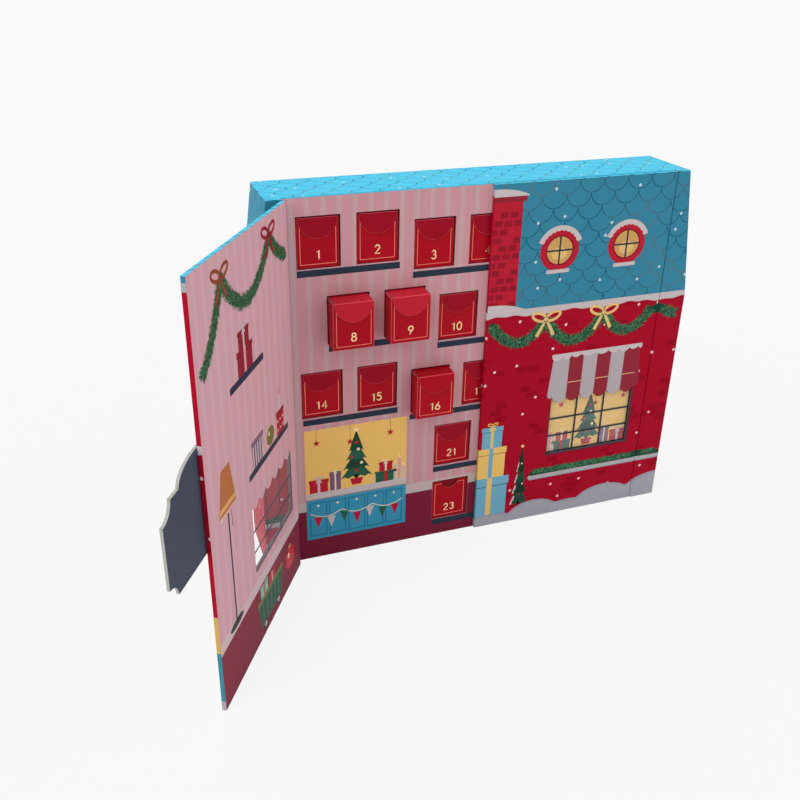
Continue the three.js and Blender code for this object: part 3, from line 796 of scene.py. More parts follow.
def parlourStamps(sheet, side):
    # warm wall over a blue cabinet with gifts on it; side -1 mirrors the places and not the motifs
    look = parlour
    edges = sorted((side * look["left"], side * look["right"]))
    start, top = edges[0], look["cabinet"] + look["worktop"]
    sheet.block(start, look["low"], edges[1], look["high"], "yellow", 1)
    sheet.block(start, look["low"], edges[1], look["cabinet"], "blue", 2)
    wide, rim, (down, knob) = look["doorWide"], look["doorRim"], look["knob"]
    low, high = look["low"] + look["plinth"], look["cabinet"] - look["apron"]
    for i in range(look["doors"]):
        a = start + look["doorFirst"] + i * look["doorStep"]
        sheet.block(a, low, a + wide, high, "deepBlue", 3)
        sheet.block(a + rim, low + rim, a + wide - rim, high - rim, "blue", 4)
        sheet.oval(a + wide / 2, high - down, knob, knob, "foil", 5, 10)
    boardLow, shadeLow, shadeHigh = (look["cabinet"] - drop for drop in look["board"])
    sheet.block(start, boardLow, edges[1], top, "pale", 4)
    sheet.block(start, shadeLow, edges[1], shadeHigh, "grey", 5)
    span, drop, high, swags = look["swagSpan"], look["swagDrop"], look["swagTop"], look["swags"]
    left, (half, tall), steps = start + look["swagEnd"], look["pennant"], 8 * swags
    cord = [(left + span * i / steps, high - drop * abs(math.sin(math.pi * i / 8))) for i in range(steps + 1)]
    sheet.line(cord, 0.7, "cream", 6)
    for i in range(look["pennants"]):  # pennants on a cord
        a = start + look["pennantFirst"] + i * look["pennantStep"]
        b = high - 1 - drop * abs(math.sin(math.pi * (a - left) / span * swags))
        sheet.shape([(a - half, b), (a + half, b), (a, b - tall)], ("red", "pale", "green")[i % 3], 7)
    middle, *size = look["fir"]
    baubles = ("red", "cream", "red", "cream", "red")
    fir(sheet, side * middle, top + look["firUp"], *size, "green", "red", baubles)
    for outer, up, wide, tall, wrap, ribbon, topBow in look["gifts"]:  # placed by their outer edges
        gift(sheet, side * outer - (wide if side > 0 else 0), top + up, wide, tall, wrap, ribbon, 4, topBow)
    for a, tall, tone in look["candles"]:
        candle(sheet, side * a, top, look["candleWide"], tall, tone, 5)
    for a, down in look["stars"]:  # hung on the wall
        a, b = side * a, look["high"] - down
        sheet.line([(a, look["high"]), (a, b)], 0.35, "bronze", 3)
        star(sheet, a, b - 3, look["star"], 4, "red")


panelSheet = Sheet()
for index, (start, stop, low) in enumerate(shelfBars["runs"]):
    for a, b in [(start, stop)] + ([(-stop, -start)] if index in shelfBars["paired"] else []):
        panelSheet.block(a, low, b, low + shelfBars["thick"], "navy", 2)
        panelSheet.block(a, low - 0.5, b, low, "shadow", 1)
parlourStamps(panelSheet, -1)
parlourStamps(panelSheet, 1)
panelSheet.make("panelPicturePrint", sheetAt(faceY), "case", "panel_print")
print("front panel printed")

doorStop = hinge["x"] - crease["clear"]
stripStart = hinge["x"] + crease["clear"]
bricks = {"rows": 12, "rowStep": 6.4, "first": 3.5, "wide": 6.4, "tall": 4.4, "columnStep": 8.0, "shift": 3.4,
          "left": 1.6, "margin": 0.8, "cap": (3.0, 5.0), "capSnow": (4.5, 4.6, 5.0), "footSnow": (8.0, 5.5)}


def chimney(sheet, half, top):
    start = crease["meeting"]
    sheet.block(start, eaves, half, top, "red", 1)
    for row in range(bricks["rows"]):
        b = eaves + bricks["first"] + row * bricks["rowStep"]
        for i in range(3):
            a = bricks["left"] + i * bricks["columnStep"] - (bricks["shift"] if row % 2 else 0)
            left, right = max(a, bricks["margin"]), min(a + bricks["wide"], half - bricks["margin"])
            if (row * 3 + i) % 4 != 1 and b + bricks["tall"] < top:
                sheet.block(left, b, right, b + bricks["tall"], "brickLine", 2)
    (capOut, capTall), (out, up, tall) = bricks["cap"], bricks["capSnow"]
    sheet.block(start, top, half + capOut, top + capTall, "maroon", 2)
    snowCap(sheet, half + out, top + up, tall)
    out, tall = bricks["footSnow"]
    snowCap(sheet, half + out, eaves, tall)


board = {"low": outerPrint["ledge"], "high": outerPrint["ledge"] + seamPrint["ledgeTall"],
         "shade": (-1.0, 0.2), "green": (-0.2, 4.0), "start": 50.0, "end": (48.0, 49.2, 49.4), "endCut": 1.6,
         "stripEnd": 179.6, "greenEnd": 179.2, "snowEnd": 179.75}


def ledgeStamps(sheet, left, right, greenRight, level):  # the shade, and the green that the sprigs lie on
    shade, green = board["shade"], board["green"]
    sheet.block(left, board["low"] + shade[0], right, board["low"] + shade[1], "driftShade", level)
    sheet.block(left, board["high"] + green[0], greenRight, board["high"] + green[1], "deepGreen", level + 2)


# left or middle, foot, width and height, then the tones; 1 is the right door, -1 the left
houseThings = {
    "tower": ((12.2, 9, 33, 40, "paleBlue", "giftGold"), (12.0, 49, 26, 29, "giftGold", "paleBlue")),
    "gift": {1: (3.0, 78, 18, 20, "paleBlue", "giftGold", 2),
             -1: (43.5, 8, 15, 14, "paleBlue", "giftGold", 3)},
    "firs": {1: ((41.0, 9, 17, 66, 4, "deepGreen", None, ("red", "cream") * 2),),
             -1: ((18.0, 8, 24, 92, 5, "green", None, ("cream", "red", "cream", "red", "cream")),
                  (36.5, 8, 19, 64, 4, "deepGreen", None, (), 2))},
    "bows": ((52.0, 189.0), (104.0, 189.0)), "bowSize": 15.0,
}


def houseStamps(side):
    # side 1 is the right door; side -1 draws the same layout mirrored, with other small things
    sheet = Sheet(side)
    look, things = houseFront, houseThings
    chimney(sheet, look["chimneyHalf"], look["chimneyTop"])
    for a, b, size in look["windows"]:
        roundWindow(sheet, a, b, size)
    top, (out, up, thick) = look["awningTop"], awning["snow"]
    valance(sheet, top + awning["up"])
    dripBand(sheet, window["left"] - out, window["right"] + out, top + up, thick, awning["seed"] + side)
    (tip, under, over), low, high = board["end"], board["low"], board["high"]
    outline = [(tip, low + board["endCut"]), (under, low), (doorStop, low), (doorStop, high), (over, high)]
    sheet.shape(outline, "ledge", 3)
    ledgeStamps(sheet, board["start"], doorStop, doorStop, 2)
    for a, foot, wide, tall, wrap, ribbon in things["tower"]:  # it stands across the meeting line
        gift(sheet, a * side - wide / 2, foot, wide, tall, wrap, ribbon, topBow=False, cut=crease["meeting"])
    gift(sheet, *things["gift"][side])
    for row in things["firs"][side]:
        fir(sheet, *row, snowy=True)
    mounds(sheet, crease["meeting"], doorStop, 8)
    for a, b in things["bows"]:
        bow(sheet, a, b, things["bowSize"], "bowGold")
    return sheet


def stripStamps(side):
    sheet = Sheet(side)
    sheet.block(stripStart, board["low"], board["stripEnd"], board["high"], "ledge", 1)
    ledgeStamps(sheet, stripStart, board["stripEnd"], board["greenEnd"], 0)
    mounds(sheet, stripStart, board["snowEnd"], 0)
    return sheet


for name, body, side, turn in leaves:
    houseStamps(side).make(name + "DoorOuterPrint", sheetAt(outerY, -1, turn), body, "door_print")
for name, body, side, turn in leaves:
    stripStamps(side).make(name + "StripPrint", sheetAt(outerY), "case", "case_print")
print("outer faces printed")

# start and stop from the crease, height and thickness
shelves = {"high": (56.0, 112.0, 209.7, 4.4), "low": (16.0, 92.0, 136.6, 4.2)}
# left end, height above its seat, width and height, then the tones
shelfGifts = ((98, 0, 24, 17, "maroon", "rose", 3, False), (95, 17, 17, 12, "maroon", "pale", 3))
basket = {"foot": (46, 88, 10), "top": (42, 92, 33), "rim": (41, 93, 31, 34.5),
          "slats": 6, "slatStep": 7.8, "slatWide": 4.1, "slatFoot": 2, "slatHead": 3,
          "wheels": (80, 53), "wheelMiddle": 8.6, "wheel": 4.0, "hub": 2.2,
          "gifts": ((86, 0, 14, 10, "mint", "red", 1, False), (69, 0, 12, 8, "red", "pale", 1, False))}
drum = {"middle": 75, "foot": 9, "top": 10, "tall": 20, "bandHalf": 10.6, "bandLow": 17, "bandTall": 3.5,
        "stripes": 5, "stripeStep": 4.0, "stripeFirst": 8.4, "stripeFoot": 1.7, "stripeHead": (1.4, 0.3)}
jar = {"left": 38, "wide": 14, "tall": 15, "lidOut": 1, "lidTall": 3, "candle": (3.4, 12),
       "spots": 6, "spotFirst": (2, 4), "spotStep": (5, 6.5), "spot": 1.1}
innerBaubles = {"shelf": (51, 8.2, 7.2), "floor": (24, 26, 9.5)}
innerFir = {"place": (127.0, 48.0), "size": (34.0, 84.0, 5), "dots": ("red", "cream", "red", "cream")}
innerBows = {"places": ((36.0, 287.0, "bowRed"), (114.0, 285.0, "bowBronze")), "size": 14.5}
lamp = {"stand": 128.0, "half": 0.9, "foot": 52.0, "base": (11, 3.0), "shade": (13.0, 140.0, 6.5, 170.0),
        "trim": (12.2, 142.0, 11.4, 145.5), "beads": 5, "beadFirst": (10, 138.6), "beadStep": 5,
        "bead": (1.2, 1.5), "cord": (5, 139, 124)}


def innerStamps(side):
    # drawn for the left door, whose crease is at the right when it is seen open
    sheet = Sheet(side)

    def at(distance):  # a place by its distance from the crease
        return hinge["x"] - distance
    for start, stop, low, thick in shelves.values():
        sheet.block(at(stop), low, at(start), low + thick, "navy", 2)
        sheet.block(at(stop), low - 0.5, at(start), low, "shadow", 1)
    high, low = (shelf[2] + shelf[3] for shelf in shelves.values())
    for seat, things in ((high, shelfGifts), (basket["rim"][3], basket["gifts"])):
        for left, up, *rest in things:
            gift(sheet, at(left), seat + up, *rest)
    a, band = at(drum["middle"]), low + drum["bandLow"]
    sheet.taper(a, drum["foot"], low, drum["top"], low + drum["tall"], "plum", 3)
    foot, (head, back) = drum["stripeFoot"], drum["stripeHead"]
    for i in range(drum["stripes"]):
        left = a - drum["stripeFirst"] + i * drum["stripeStep"]
        stripe = [(left, low + 1), (left + foot, low + 1), (left + head, band), (left - back, band)]
        sheet.shape(stripe, "pale", 4)
    sheet.block(a - drum["bandHalf"], band, a + drum["bandHalf"], band + drum["bandTall"], "plum", 5)
    left, up, size = innerBaubles["shelf"]
    bauble(sheet, at(left), low + up, size, "olive")
    left, top, out = at(jar["left"]), low + jar["tall"], jar["lidOut"]
    right, lidTop = left + jar["wide"], top + jar["lidTall"]
    sheet.block(left, low, right, top, "red", 3)
    sheet.block(left - out, top, right + out, lidTop, "maroon", 4)
    (first, up), (across, rise), spot = jar["spotFirst"], jar["spotStep"], jar["spot"]
    for i in range(jar["spots"]):
        sheet.oval(left + first + i % 3 * across, low + up + i // 3 * rise, spot, spot, "pale", 5, 10)
    candle(sheet, (left + right) / 2, lidTop, *jar["candle"], "pale", 4)
    if side > 0:
        a, half, foot = at(lamp["stand"]), lamp["half"], lamp["foot"]
        sheet.block(a - half, foot, a + half, lamp["trim"][1], "shadow", 3)
        sheet.oval(a, foot - 0.5, *lamp["base"], "shadow", 3)
        sheet.taper(a, *lamp["shade"], "bronze", 4)
        sheet.taper(a, *lamp["trim"], "shadeTrim", 5)
        back, level = lamp["beadFirst"]
        for i in range(lamp["beads"]):
            sheet.oval(a - back + i * lamp["beadStep"], level, *lamp["bead"], "foil", 5, 10)
        out, high, low = lamp["cord"]
        sheet.line([(a + out, high), (a + out, low)], 0.5, "shadow", 3)
    else:
        (left, low), size = innerFir["place"], innerFir["size"]
        fir(sheet, at(left), low, *size, "green", "maroon", innerFir["dots"])
    (start, stop, low), (topStart, topStop, high) = basket["foot"], basket["top"]
    sheet.shape([(at(stop), low), (at(start), low), (at(topStart), high), (at(topStop), high)], "green", 3)
    for i in range(basket["slats"]):
        a = at(stop + 0.5 - i * basket["slatStep"])
        slat = (a, low + basket["slatFoot"], a + basket["slatWide"], high - basket["slatHead"])
        sheet.block(*slat, "deepGreen", 4)
    start, stop, low, high = basket["rim"]
    sheet.block(at(stop), low, at(start), high, "olive", 5)
    for a in (at(wheel) for wheel in basket["wheels"]):
        for size, tone, level, count in ((basket["wheel"], "shadow", 6, 20), (basket["hub"], "pale", 7, 16)):
            sheet.oval(a, basket["wheelMiddle"], size, size, tone, level, count)
    left, *size = innerBaubles["floor"]
    bauble(sheet, at(left), *size, "bauble")
    for a, b, tone in innerBows["places"]:
        bow(sheet, at(a), b, innerBows["size"], tone)
    return sheet


for name, body, side, turn in leaves[::-1]:
    innerStamps(-side).make(name + "DoorInnerPrint", sheetAt(innerY, 1, turn), body, "door_print")
print("inner faces printed")


def sprigNodes():
    # small flat blades laid along a path, turned and shifted by chance
    tree = bpy.data.node_groups.new("sprigsAlongPath", "GeometryNodeTree")
    face = tree.interface
    face.new_socket(name="Geometry", in_out="OUTPUT", socket_type="NodeSocketGeometry")
    kinds = {"Path": "Geometry", "Count": "Int", "Sides": "Int", "Seed": "Int", "Finish": "Material"}
    kinds.update(dict.fromkeys(("Length", "Width", "Spread", "Fan", "Lift"), "Float"))
    names = {name: face.new_socket(name=name, in_out="INPUT", socket_type="NodeSocket" + kind).identifier
             for name, kind in kinds.items()}

    def feed(socket, value):
        if isinstance(value, bpy.types.NodeSocket):
            tree.links.new(value, socket)
        else:
            socket.default_value = value

    def add(kind, settings={}, **inputs):  # the node's first output
        node = tree.nodes.new(kind)
        for key, value in settings.items():
            setattr(node, key, value)
        for key, value in inputs.items():
            feed(next(s for s in node.inputs if s.enabled and s.name.replace(" ", "") == key), value)
        return next(s for s in node.outputs if s.enabled)

    def sums(operation, first, second, kind="ShaderNodeMath", slot=1):
        node = tree.nodes.new(kind)
        node.operation = operation
        feed(node.inputs[0], first)
        feed(node.inputs[slot], second)
        return node.outputs[0]

    def chance(low, high, seed):
        return add("FunctionNodeRandomValue", {"data_type": "FLOAT"}, Min=low, Max=high,
                   Seed=sums("ADD", given["Seed"], seed))

    given = {s.name: s for s in tree.nodes.new("NodeGroupInput").outputs}
    curve = add("GeometryNodeMeshToCurve", Mesh=given["Path"])
    points = add("GeometryNodeCurveToPoints", {"mode": "COUNT"}, Curve=curve, Count=given["Count"])
    tangent = points.node.outputs["Tangent"]
    across = chance(-1.0, 1.0, 1)
    vectors = "ShaderNodeVectorMath"
    aside = sums("CROSS_PRODUCT", tangent, (0, 0, 1), vectors)
    pushed = sums("SCALE", aside, sums("MULTIPLY", across, given["Spread"]), vectors, "Scale")
    raised = add("ShaderNodeCombineXYZ", Z=chance(0.0, given["Lift"], 3))
    moved = add("GeometryNodeSetPosition", Geometry=points, Offset=sums("ADD", pushed, raised, vectors))
    blade = add("GeometryNodeMeshCone", {"fill_type": "NGON"}, Vertices=given["Sides"], RadiusTop=0.35,
                RadiusBottom=0.5, Depth=0.00003)
    shaped = add("GeometryNodeTransform", Geometry=blade,
                 Scale=add("ShaderNodeCombineXYZ", X=given["Length"], Y=given["Width"], Z=1.0))
    along = add("FunctionNodeAlignRotationToVector", {"axis": "X"}, Vector=tangent)
    fanned = sums("MULTIPLY", sums("MULTIPLY", across, given["Fan"]), -1.0)
    angle = sums("ADD", fanned, chance(-0.4, 0.4, 4))
    turn = add("FunctionNodeAxisAngleToRotation", Axis=(0, 0, 1), Angle=angle)
    turned = add("FunctionNodeRotateRotation", {"rotation_space": "GLOBAL"}, Rotation=along, RotateBy=turn)
    placed = add("GeometryNodeInstanceOnPoints", Points=moved, Instance=shaped, Rotation=turned,
                 Scale=chance(0.7, 1.15, 5))
    real = add("GeometryNodeRealizeInstances", Geometry=placed)
    done = add("GeometryNodeSetMaterial", Geometry=real, Material=given["Finish"])
    feed(tree.nodes.new("NodeGroupOutput").inputs[0], done)
    return tree, names


sprigTree, sprigInputs = sprigNodes()
garland = [
    {"finish": "needles", "perMm": 8.0, "sides": 4, "length": 5.6, "width": 1.3, "spread": 3.3,
     "fan": 0.9, "lift": 0.04, "seed": 5, "rise": 0.05},
    {"finish": "needleTips", "perMm": 5.0, "sides": 4, "length": 5.2, "width": 0.6, "spread": 4.5,
     "fan": 1.15, "lift": 0.02, "seed": 9, "rise": 0.09},
]
ledgeGreen = [dict(garland[0], spread=1.6, length=4.4, seed=23),
              dict(garland[1], spread=2.3, length=4.0, seed=29)]


def scatter(name, side, paths, place, looks, body):
    # runs the tree over each path with each look, and joins the results in one mesh
    whole = bmesh.new()
    for pathIndex, path in enumerate(paths):
        path = [(side * a, b) for a, b in path]
        line = bpy.data.meshes.new("path")
        edges = [(i, i + 1) for i in range(len(path) - 1)]
        line.from_pydata([(a * mm, b * mm, 0) for a, b in path], edges, [])
        length = sum((Vector(q) - Vector(p)).length for p, q in zip(path, path[1:]))
        for lookIndex, look in enumerate(looks):
            holder = link(bpy.data.objects.new("path", line))
            modifier = holder.modifiers.new("sprigs", "NODES")
            modifier.node_group = sprigTree
            values = {key.capitalize(): look[key] * mm for key in ("length", "width", "spread", "lift")}
            values.update({"Sides": look["sides"], "Fan": look["fan"], "Seed": look["seed"] + pathIndex * 17,
                           "Count": max(3, int(length * look["perMm"])), "Finish": finishes[look["finish"]]})
            for key, value in values.items():
                modifier[sprigInputs[key]] = value
            made = meshOf(holder)
            bpy.data.objects.remove(holder, do_unlink=True)
            made.transform(Matrix.Translation((0, 0, look["rise"] * mm)))
            before = len(whole.faces)
            whole.from_mesh(made)
            whole.faces.ensure_lookup_table()
            for sprig in whole.faces[before:]:
                sprig.material_index = lookIndex
            bpy.data.meshes.remove(made)
        bpy.data.meshes.remove(line)
    bmesh.ops.recalc_face_normals(whole, faces=whole.faces)
    mesh = bpy.data.meshes.new("sprigs")
    whole.to_mesh(mesh)
    whole.free()
    for look in looks:
        mesh.materials.append(finishes[look["finish"]])
    mesh.transform(place)
    settle(name, mesh, body)


def swag(start, stop, sag, count=25):  # a path that hangs between two places
    (a, b), (c, d) = start, stop
    steps = [i / (count - 1) for i in range(count)]
    return [(a + (c - a) * t, b + (d - b) * t - 4 * sag * t * (1 - t)) for t in steps]


runs = {
    "outer": [swag((4.5, 189.0), (52.0, 188.0), 17.0), swag((52.0, 188.0), (104.0, 188.0), 20.0),
              swag((104.0, 188.0), (148.6, 187.6), 17.0)],
    "strip": [swag((160.6, 186.4), (174.0, 180.0), 1.5, 9)],
    "ledge": [[(53.0, 47.0), (149.8, 47.0)]],
    "stripLedge": [[(161.4, 47.0), (174.5, 47.0)]],
    "inner": [swag((149.5, 264.0), (119.5, 285.0), 3.0, 13), swag((119.5, 285.0), (41.5, 283.0), 26.0),
              swag((41.5, 283.0), (8.5, 238.0), 6.0, 17)],
}
for name, body, side, turn in leaves:
    outer, strip, inner = sheetAt(outerY, -1, turn), sheetAt(outerY), sheetAt(innerY, 1, turn)
    scatter(name + "DoorGarland", side, runs["outer"], outer, garland, body)
    scatter(name + "LedgeGreenery", side, runs["ledge"], outer, ledgeGreen, body)
    scatter(name + "StripGarland", side, runs["strip"], strip, garland, "case")
    scatter(name + "StripGreenery", side, runs["stripLedge"], strip, ledgeGreen, "case")
    scatter(name + "InnerGarland", -side, runs["inner"], inner, garland, body)
print("garlands laid")

glazing = {"bar": 1.6, "frame": 0.9, "over": 1.0, "lap": 2.0, "filmFront": 2.7, "margin": 5.4, "columns": 3,
           "rows": 3, "arcSteps": 8}
hole = [window[key] for key in ("left", "right", "low", "high")]


def barStamps(side):
    sheet = Sheet(side)
    left, right, low, high = hole
    half, rim, over, lap = glazing["bar"] / 2, glazing["frame"], glazing["over"], glazing["lap"]
    for i in range(1, glazing["columns"]):
        a = left + (right - left) * i / glazing["columns"]
        sheet.block(a - half, low - over, a + half, high + over, "bars", 1)
    for i in range(1, glazing["rows"]):
        b = low + (high - window["drop"] - low) * i / glazing["rows"]
        sheet.block(left - over, b - half, right + over, b + half, "bars", 2)
    for start, stop in ((left - lap, left + rim), (right - rim, right + lap)):
        sheet.block(start, low - lap, stop, high + lap, "bars", 2)
    sheet.block(left - lap, low - lap, right + lap, low + rim, "bars", 1)
    return sheet


def linerStamps(side):  # inner paper round the window, over the film's margin
    sheet = Sheet(side)
    left, right, low, high = hole
    out, count = glazing["margin"], window["scallops"] * glazing["arcSteps"]
    for box in ((left - out, low - out, left, high + out), (right, low - out, right + out, high + out),
                (left, low - out, right, low)):
        sheet.block(*box, "cream", 0)
    edge = []
    for i in range(count):
        t = i % glazing["arcSteps"] / glazing["arcSteps"]
        edge.append((left + (right - left) * i / count, high - 4 * window["drop"] * t * (1 - t)))
    sheet.shape(edge + [(right, high), (right, high + out), (left, high + out)], "cream", 0)
    return sheet


for name, body, side, turn in leaves:
    place = sheetAt(outerY + glazing["filmFront"], -1, turn)
    barStamps(side).make(name + "GlazingBars", place, body, "clear_film")
for name, body, side, turn in leaves[::-1]:
    place = sheetAt(innerY, 1, turn)
    linerStamps(-side).make(name + "WindowLiner", place, body, "door_print", name + "Door")

plaque = {"front": outerY - 2.3, "middle": 159.0, "rings": ((36.0, 20.0, 0.8), (34.6, 18.6, 0.4)),
          "star": 9.0, "sprig": (11.0, 31.0), "stem": 0.3, "leaves": 5, "leafFirst": 12.5, "leafStep": 4.0,
          "leaf": ((4.2, 3.6), (1.4, 3.4)), "magnet": (25.0, 156.75), "magnetSkin": 6.9, "keeperSkin": 7.9}
emblem, middle = Sheet(), plaque["middle"]
for wide, tall, thick in plaque["rings"]:
    emblem.line(arc(0, middle, wide, tall, 0, 360, 48)[:-1], thick, "foil", 1, closed=True)
star(emblem, 0, middle, plaque["star"], 2)
for side in (-1, 1):
    for i in range(plaque["leaves"]):
        a = side * (plaque["leafFirst"] + i * plaque["leafStep"])
        for up in (-1, 1):
            tips = [(a + side * out, middle + up * rise) for out, rise in plaque["leaf"]]
            emblem.shape([(a, middle)] + tips, "foil", 2)
    start, stop = sorted(side * end for end in plaque["sprig"])
    emblem.block(start, middle - plaque["stem"], stop, middle + plaque["stem"], "foil", 1)
onPlaque, onDoor = sheetAt(plaque["front"], -1, swingOpen), sheetAt(innerY, 1)
emblem.make("plaqueFoilEmblem", onPlaque, "left_door")

for name, size, place, flip, body, finishName in (  # paper over the pockets of the magnet and the keeper
        ("plaqueMagnetSkin", plaque["magnetSkin"], onPlaque, 1, "left_door", "slate"),
        ("doorKeeperSkin", plaque["keeperSkin"], onDoor, -1, "right_door", "rightDoor")):
    sheet = Sheet(flip)
    sheet.oval(*plaque["magnet"], size, size, "cream", 0, 40)
    sheet.make(name, place, body, None, finishName)
print("bars and skins laid")

hingePaper = {"width": 0.8, "front": 0.55, "back": 2.9, "hollow": 0.35, "short": 0.7, "steps": 8}


def creaseStrip(side):  # the wrap running down inside the crease, hollow in front
    left, wide = side * hinge["x"] - hingePaper["width"] / 2, hingePaper["width"]
    back = outerY + hingePaper["back"]
    steps = [i / hingePaper["steps"] for i in range(hingePaper["steps"] + 1)]
    front, hollow = outerY + hingePaper["front"], hingePaper["hollow"]
    ring = [(left + wide * t, front + hollow * math.sin(math.pi * t)) for t in steps]
    ring += [(left + wide, back), (left, back)]
    count = len(ring)
    ends = (hingePaper["short"], caseTop - hingePaper["short"])
    points = [(a * mm, b * mm, z * mm) for z in ends for a, b in ring]
    faces = [tuple(reversed(range(count))), tuple(range(count, 2 * count))]
    faces += [(i, (i + 1) % count, (i + 1) % count + count, i + count) for i in range(count)]
    mesh = bpy.data.meshes.new("crease")
    mesh.from_pydata(points, [], faces)
    mesh.materials.append(finishes["front"])
    return mesh


for name, body, side, turn in leaves:
    settle(name + "CreasePaper", creaseStrip(side), "case")

foilPrint = {"inset": 2.3, "line": 0.42, "half": 15.4, "tall": 35.5, "notch": 7.3, "digit": 6.2,
             "stroke": 1.0, "baseline": 6.2, "gap": 2.3}
figures = {  # width and stroke centre lines in a box one high
    "0": (0.58, [arc(0.29, 0.5, 0.29, 0.5, 0, 360, 24)]),
    "1": (0.24, [[(0.0, 0.82), (0.2, 1.0), (0.2, 0.0)]]),
    "2": (0.54, [arc(0.27, 0.73, 0.26, 0.27, 165, -38) + [(0.0, 0.0), (0.55, 0.0)]]),
    "3": (0.52, [arc(0.25, 0.76, 0.23, 0.24, 150, -90), arc(0.25, 0.26, 0.27, 0.26, 90, -150)]),
    "4": (0.6, [[(0.42, 0.0), (0.42, 1.0), (0.0, 0.27), (0.6, 0.27)]]),
    "5": (0.52, [[(0.48, 1.0), (0.1, 1.0), (0.06, 0.58)] + arc(0.24, 0.32, 0.28, 0.32, 115, -150)]),
    "6": (0.56, [[(0.4, 1.0), (0.05, 0.42)], arc(0.28, 0.28, 0.28, 0.28, 0, 360, 20)]),
    "7": (0.54, [[(0.0, 1.0), (0.54, 1.0), (0.18, 0.0)]]),
    "8": (0.56, [arc(0.28, 0.77, 0.23, 0.23, 0, 360, 20), arc(0.28, 0.27, 0.28, 0.27, 0, 360, 20)]),
    "9": (0.56, [[(0.16, 0.0), (0.51, 0.58)], arc(0.28, 0.72, 0.28, 0.28, 0, 360, 20)]),
}


def numeral(sheet, text):
    high, gap, stroke = foilPrint["digit"], foilPrint["gap"], foilPrint["stroke"]
    wide = sum(figures[one][0] * high for one in text) + gap * (len(text) - 1)
    a = -wide / 2
    for one in text:
        width, paths = figures[one]
        for level, path in enumerate(paths):
            path = [(a + x * high, foilPrint["baseline"] + y * high) for x, y in path]
            loop = (Vector(path[0]) - Vector(path[-1])).length < 0.01
            sheet.line(path[:-1] if loop else path, stroke, "foil", level, closed=loop)
            for end in () if loop else (path[0], path[-1]):
                sheet.oval(*end, stroke / 2, stroke / 2, "foil", level, 10)
        a += width * high + gap


inset, thin, notch = (foilPrint[key] for key in ("inset", "line", "notch"))
reach, frameTop = foilPrint["half"] - inset, foilPrint["tall"] - inset
for number in range(1, 25):
    tag = "%02d" % number
    low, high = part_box("drawer_" + tag)
    place = sheetAt(low.y / mm)
    place.translation = Vector(((low.x + high.x) / 2, low.y, low.z))
    sheet = Sheet()
    for a in (-reach, reach - thin):
        sheet.block(a, inset, a + thin, frameTop, "copper", 0)
    sheet.block(-reach, inset, reach, inset + thin, "copper", 1)
    for start, stop in ((-reach, -notch), (notch, reach)):
        sheet.block(start, frameTop - thin, stop, frameTop, "copper", 1)
    numeral(sheet, str(number))
    sheet.make("foilPrint" + tag, place, "drawer_" + tag, "carton_print")
print("foil frames and numbers laid")

studio = {"floor": 0.80, "shown": 0.93, "white": 0.95, "glow": 0.948, "sky": 0.41, "floorSize": 60.0}
suns = {"overheadSoftbox": {"level": 0.18, "from": (-0.25, 0.35, 1.0), "spread": 70},
        "rightSoftbox": {"level": 0.29, "from": (1.0, -0.45, 0.45), "spread": 80},
        "leftSoftbox": {"level": 0.72, "from": (-0.9, -0.24, 1.0), "spread": 56}}


def seenAs(finish, low, high):  # high in the camera and in glosses, low as light
    rays = finish.add("ShaderNodeLightPath")
    total = rays["Is Camera Ray"]
    for name in ("Is Glossy Ray", "Is Transmission Ray"):
        total = total.work("ADD", total, rays[name], clamp=True)
    return finish.add("ShaderNodeMapRange", {}, {"Value": total, "To Min": low, "To Max": high})["Result"]


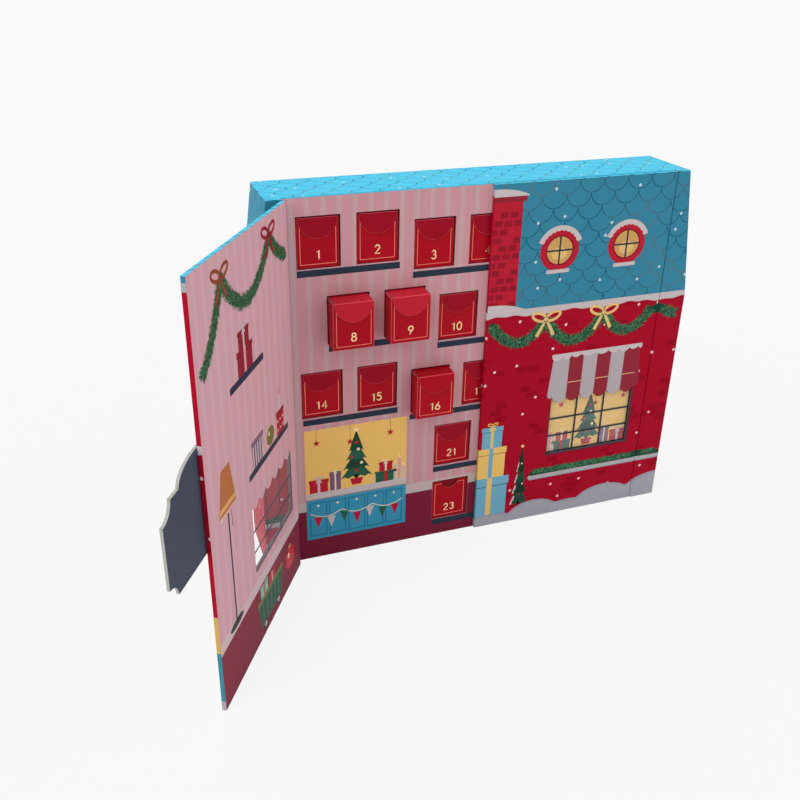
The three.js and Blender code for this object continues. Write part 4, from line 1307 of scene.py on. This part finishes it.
white = (1, 1, 1, 1)
paleFloor = Finish("paleFloor")
card = paleFloor.add("ShaderNodeBsdfDiffuse", {}, {"Color": (studio["floor"],) * 3 + (1.0,)})["BSDF"]
glow = paleFloor.add("ShaderNodeEmission", {}, {"Color": white, "Strength": studio["glow"]})["Emission"]
shown = seenAs(paleFloor, 0.0, studio["shown"])
surface = paleFloor.add("ShaderNodeMixShader", {}, {0: shown, 1: card, 2: glow})["Shader"]
paleFloor.add("ShaderNodeOutputMaterial", {}, {"Surface": surface})
bpy.ops.mesh.primitive_plane_add(size=1)
floor = bpy.context.object
floor.name = "paleFloor"
floor.data.transform(Matrix.Scale(studio["floorSize"], 4))
floor.data.materials.append(paleFloor.material)

world = bpy.data.worlds.new("studio")
bpy.context.scene.world = world
world.use_nodes = True
sky = Finish("sky", world.node_tree)
bright = seenAs(sky, studio["sky"], studio["white"])
light = sky.add("ShaderNodeBackground", {}, {"Color": white, "Strength": bright})["Background"]
sky.add("ShaderNodeOutputWorld", {}, {"Surface": light})

for name, look in suns.items():
    softbox = bpy.data.lights.new(name, "SUN")
    softbox.energy, softbox.angle = look["level"] * math.pi, math.radians(look["spread"])
    holder = link(bpy.data.objects.new(name, softbox))
    holder.rotation_euler = (-Vector(look["from"])).to_track_quat("-Z", "Y").to_euler()

view = {"place": (-0.269638, -0.58655, 0.446604), "yaw": 19.26, "pitch": 25.31, "roll": 0.80,
        "lens": 38.857, "sensor": 36.0, "shift": (0.00746, -0.04425), "nearest": 0.01}
yaw, pitch, roll = (math.radians(view[key]) for key in ("yaw", "pitch", "roll"))
ahead = Vector((math.sin(yaw) * math.cos(pitch), math.cos(yaw) * math.cos(pitch), -math.sin(pitch)))
right = Vector((math.cos(yaw), -math.sin(yaw), 0))
up = right.cross(ahead)
axes = (right * math.cos(roll) + up * math.sin(roll), up * math.cos(roll) - right * math.sin(roll), -ahead)
lens = bpy.data.cameras.new("photoView")
camera = link(bpy.data.objects.new("photoView", lens))
camera.matrix_world = Matrix.Translation(Vector(view["place"])) @ Matrix(axes).transposed().to_4x4()
lens.lens, lens.sensor_width, lens.clip_start = view["lens"], view["sensor"], view["nearest"]
lens.shift_x, lens.shift_y = view["shift"]
bpy.context.scene.camera = camera
bpy.context.scene.view_settings.view_transform = "Standard"

print("scene ready")
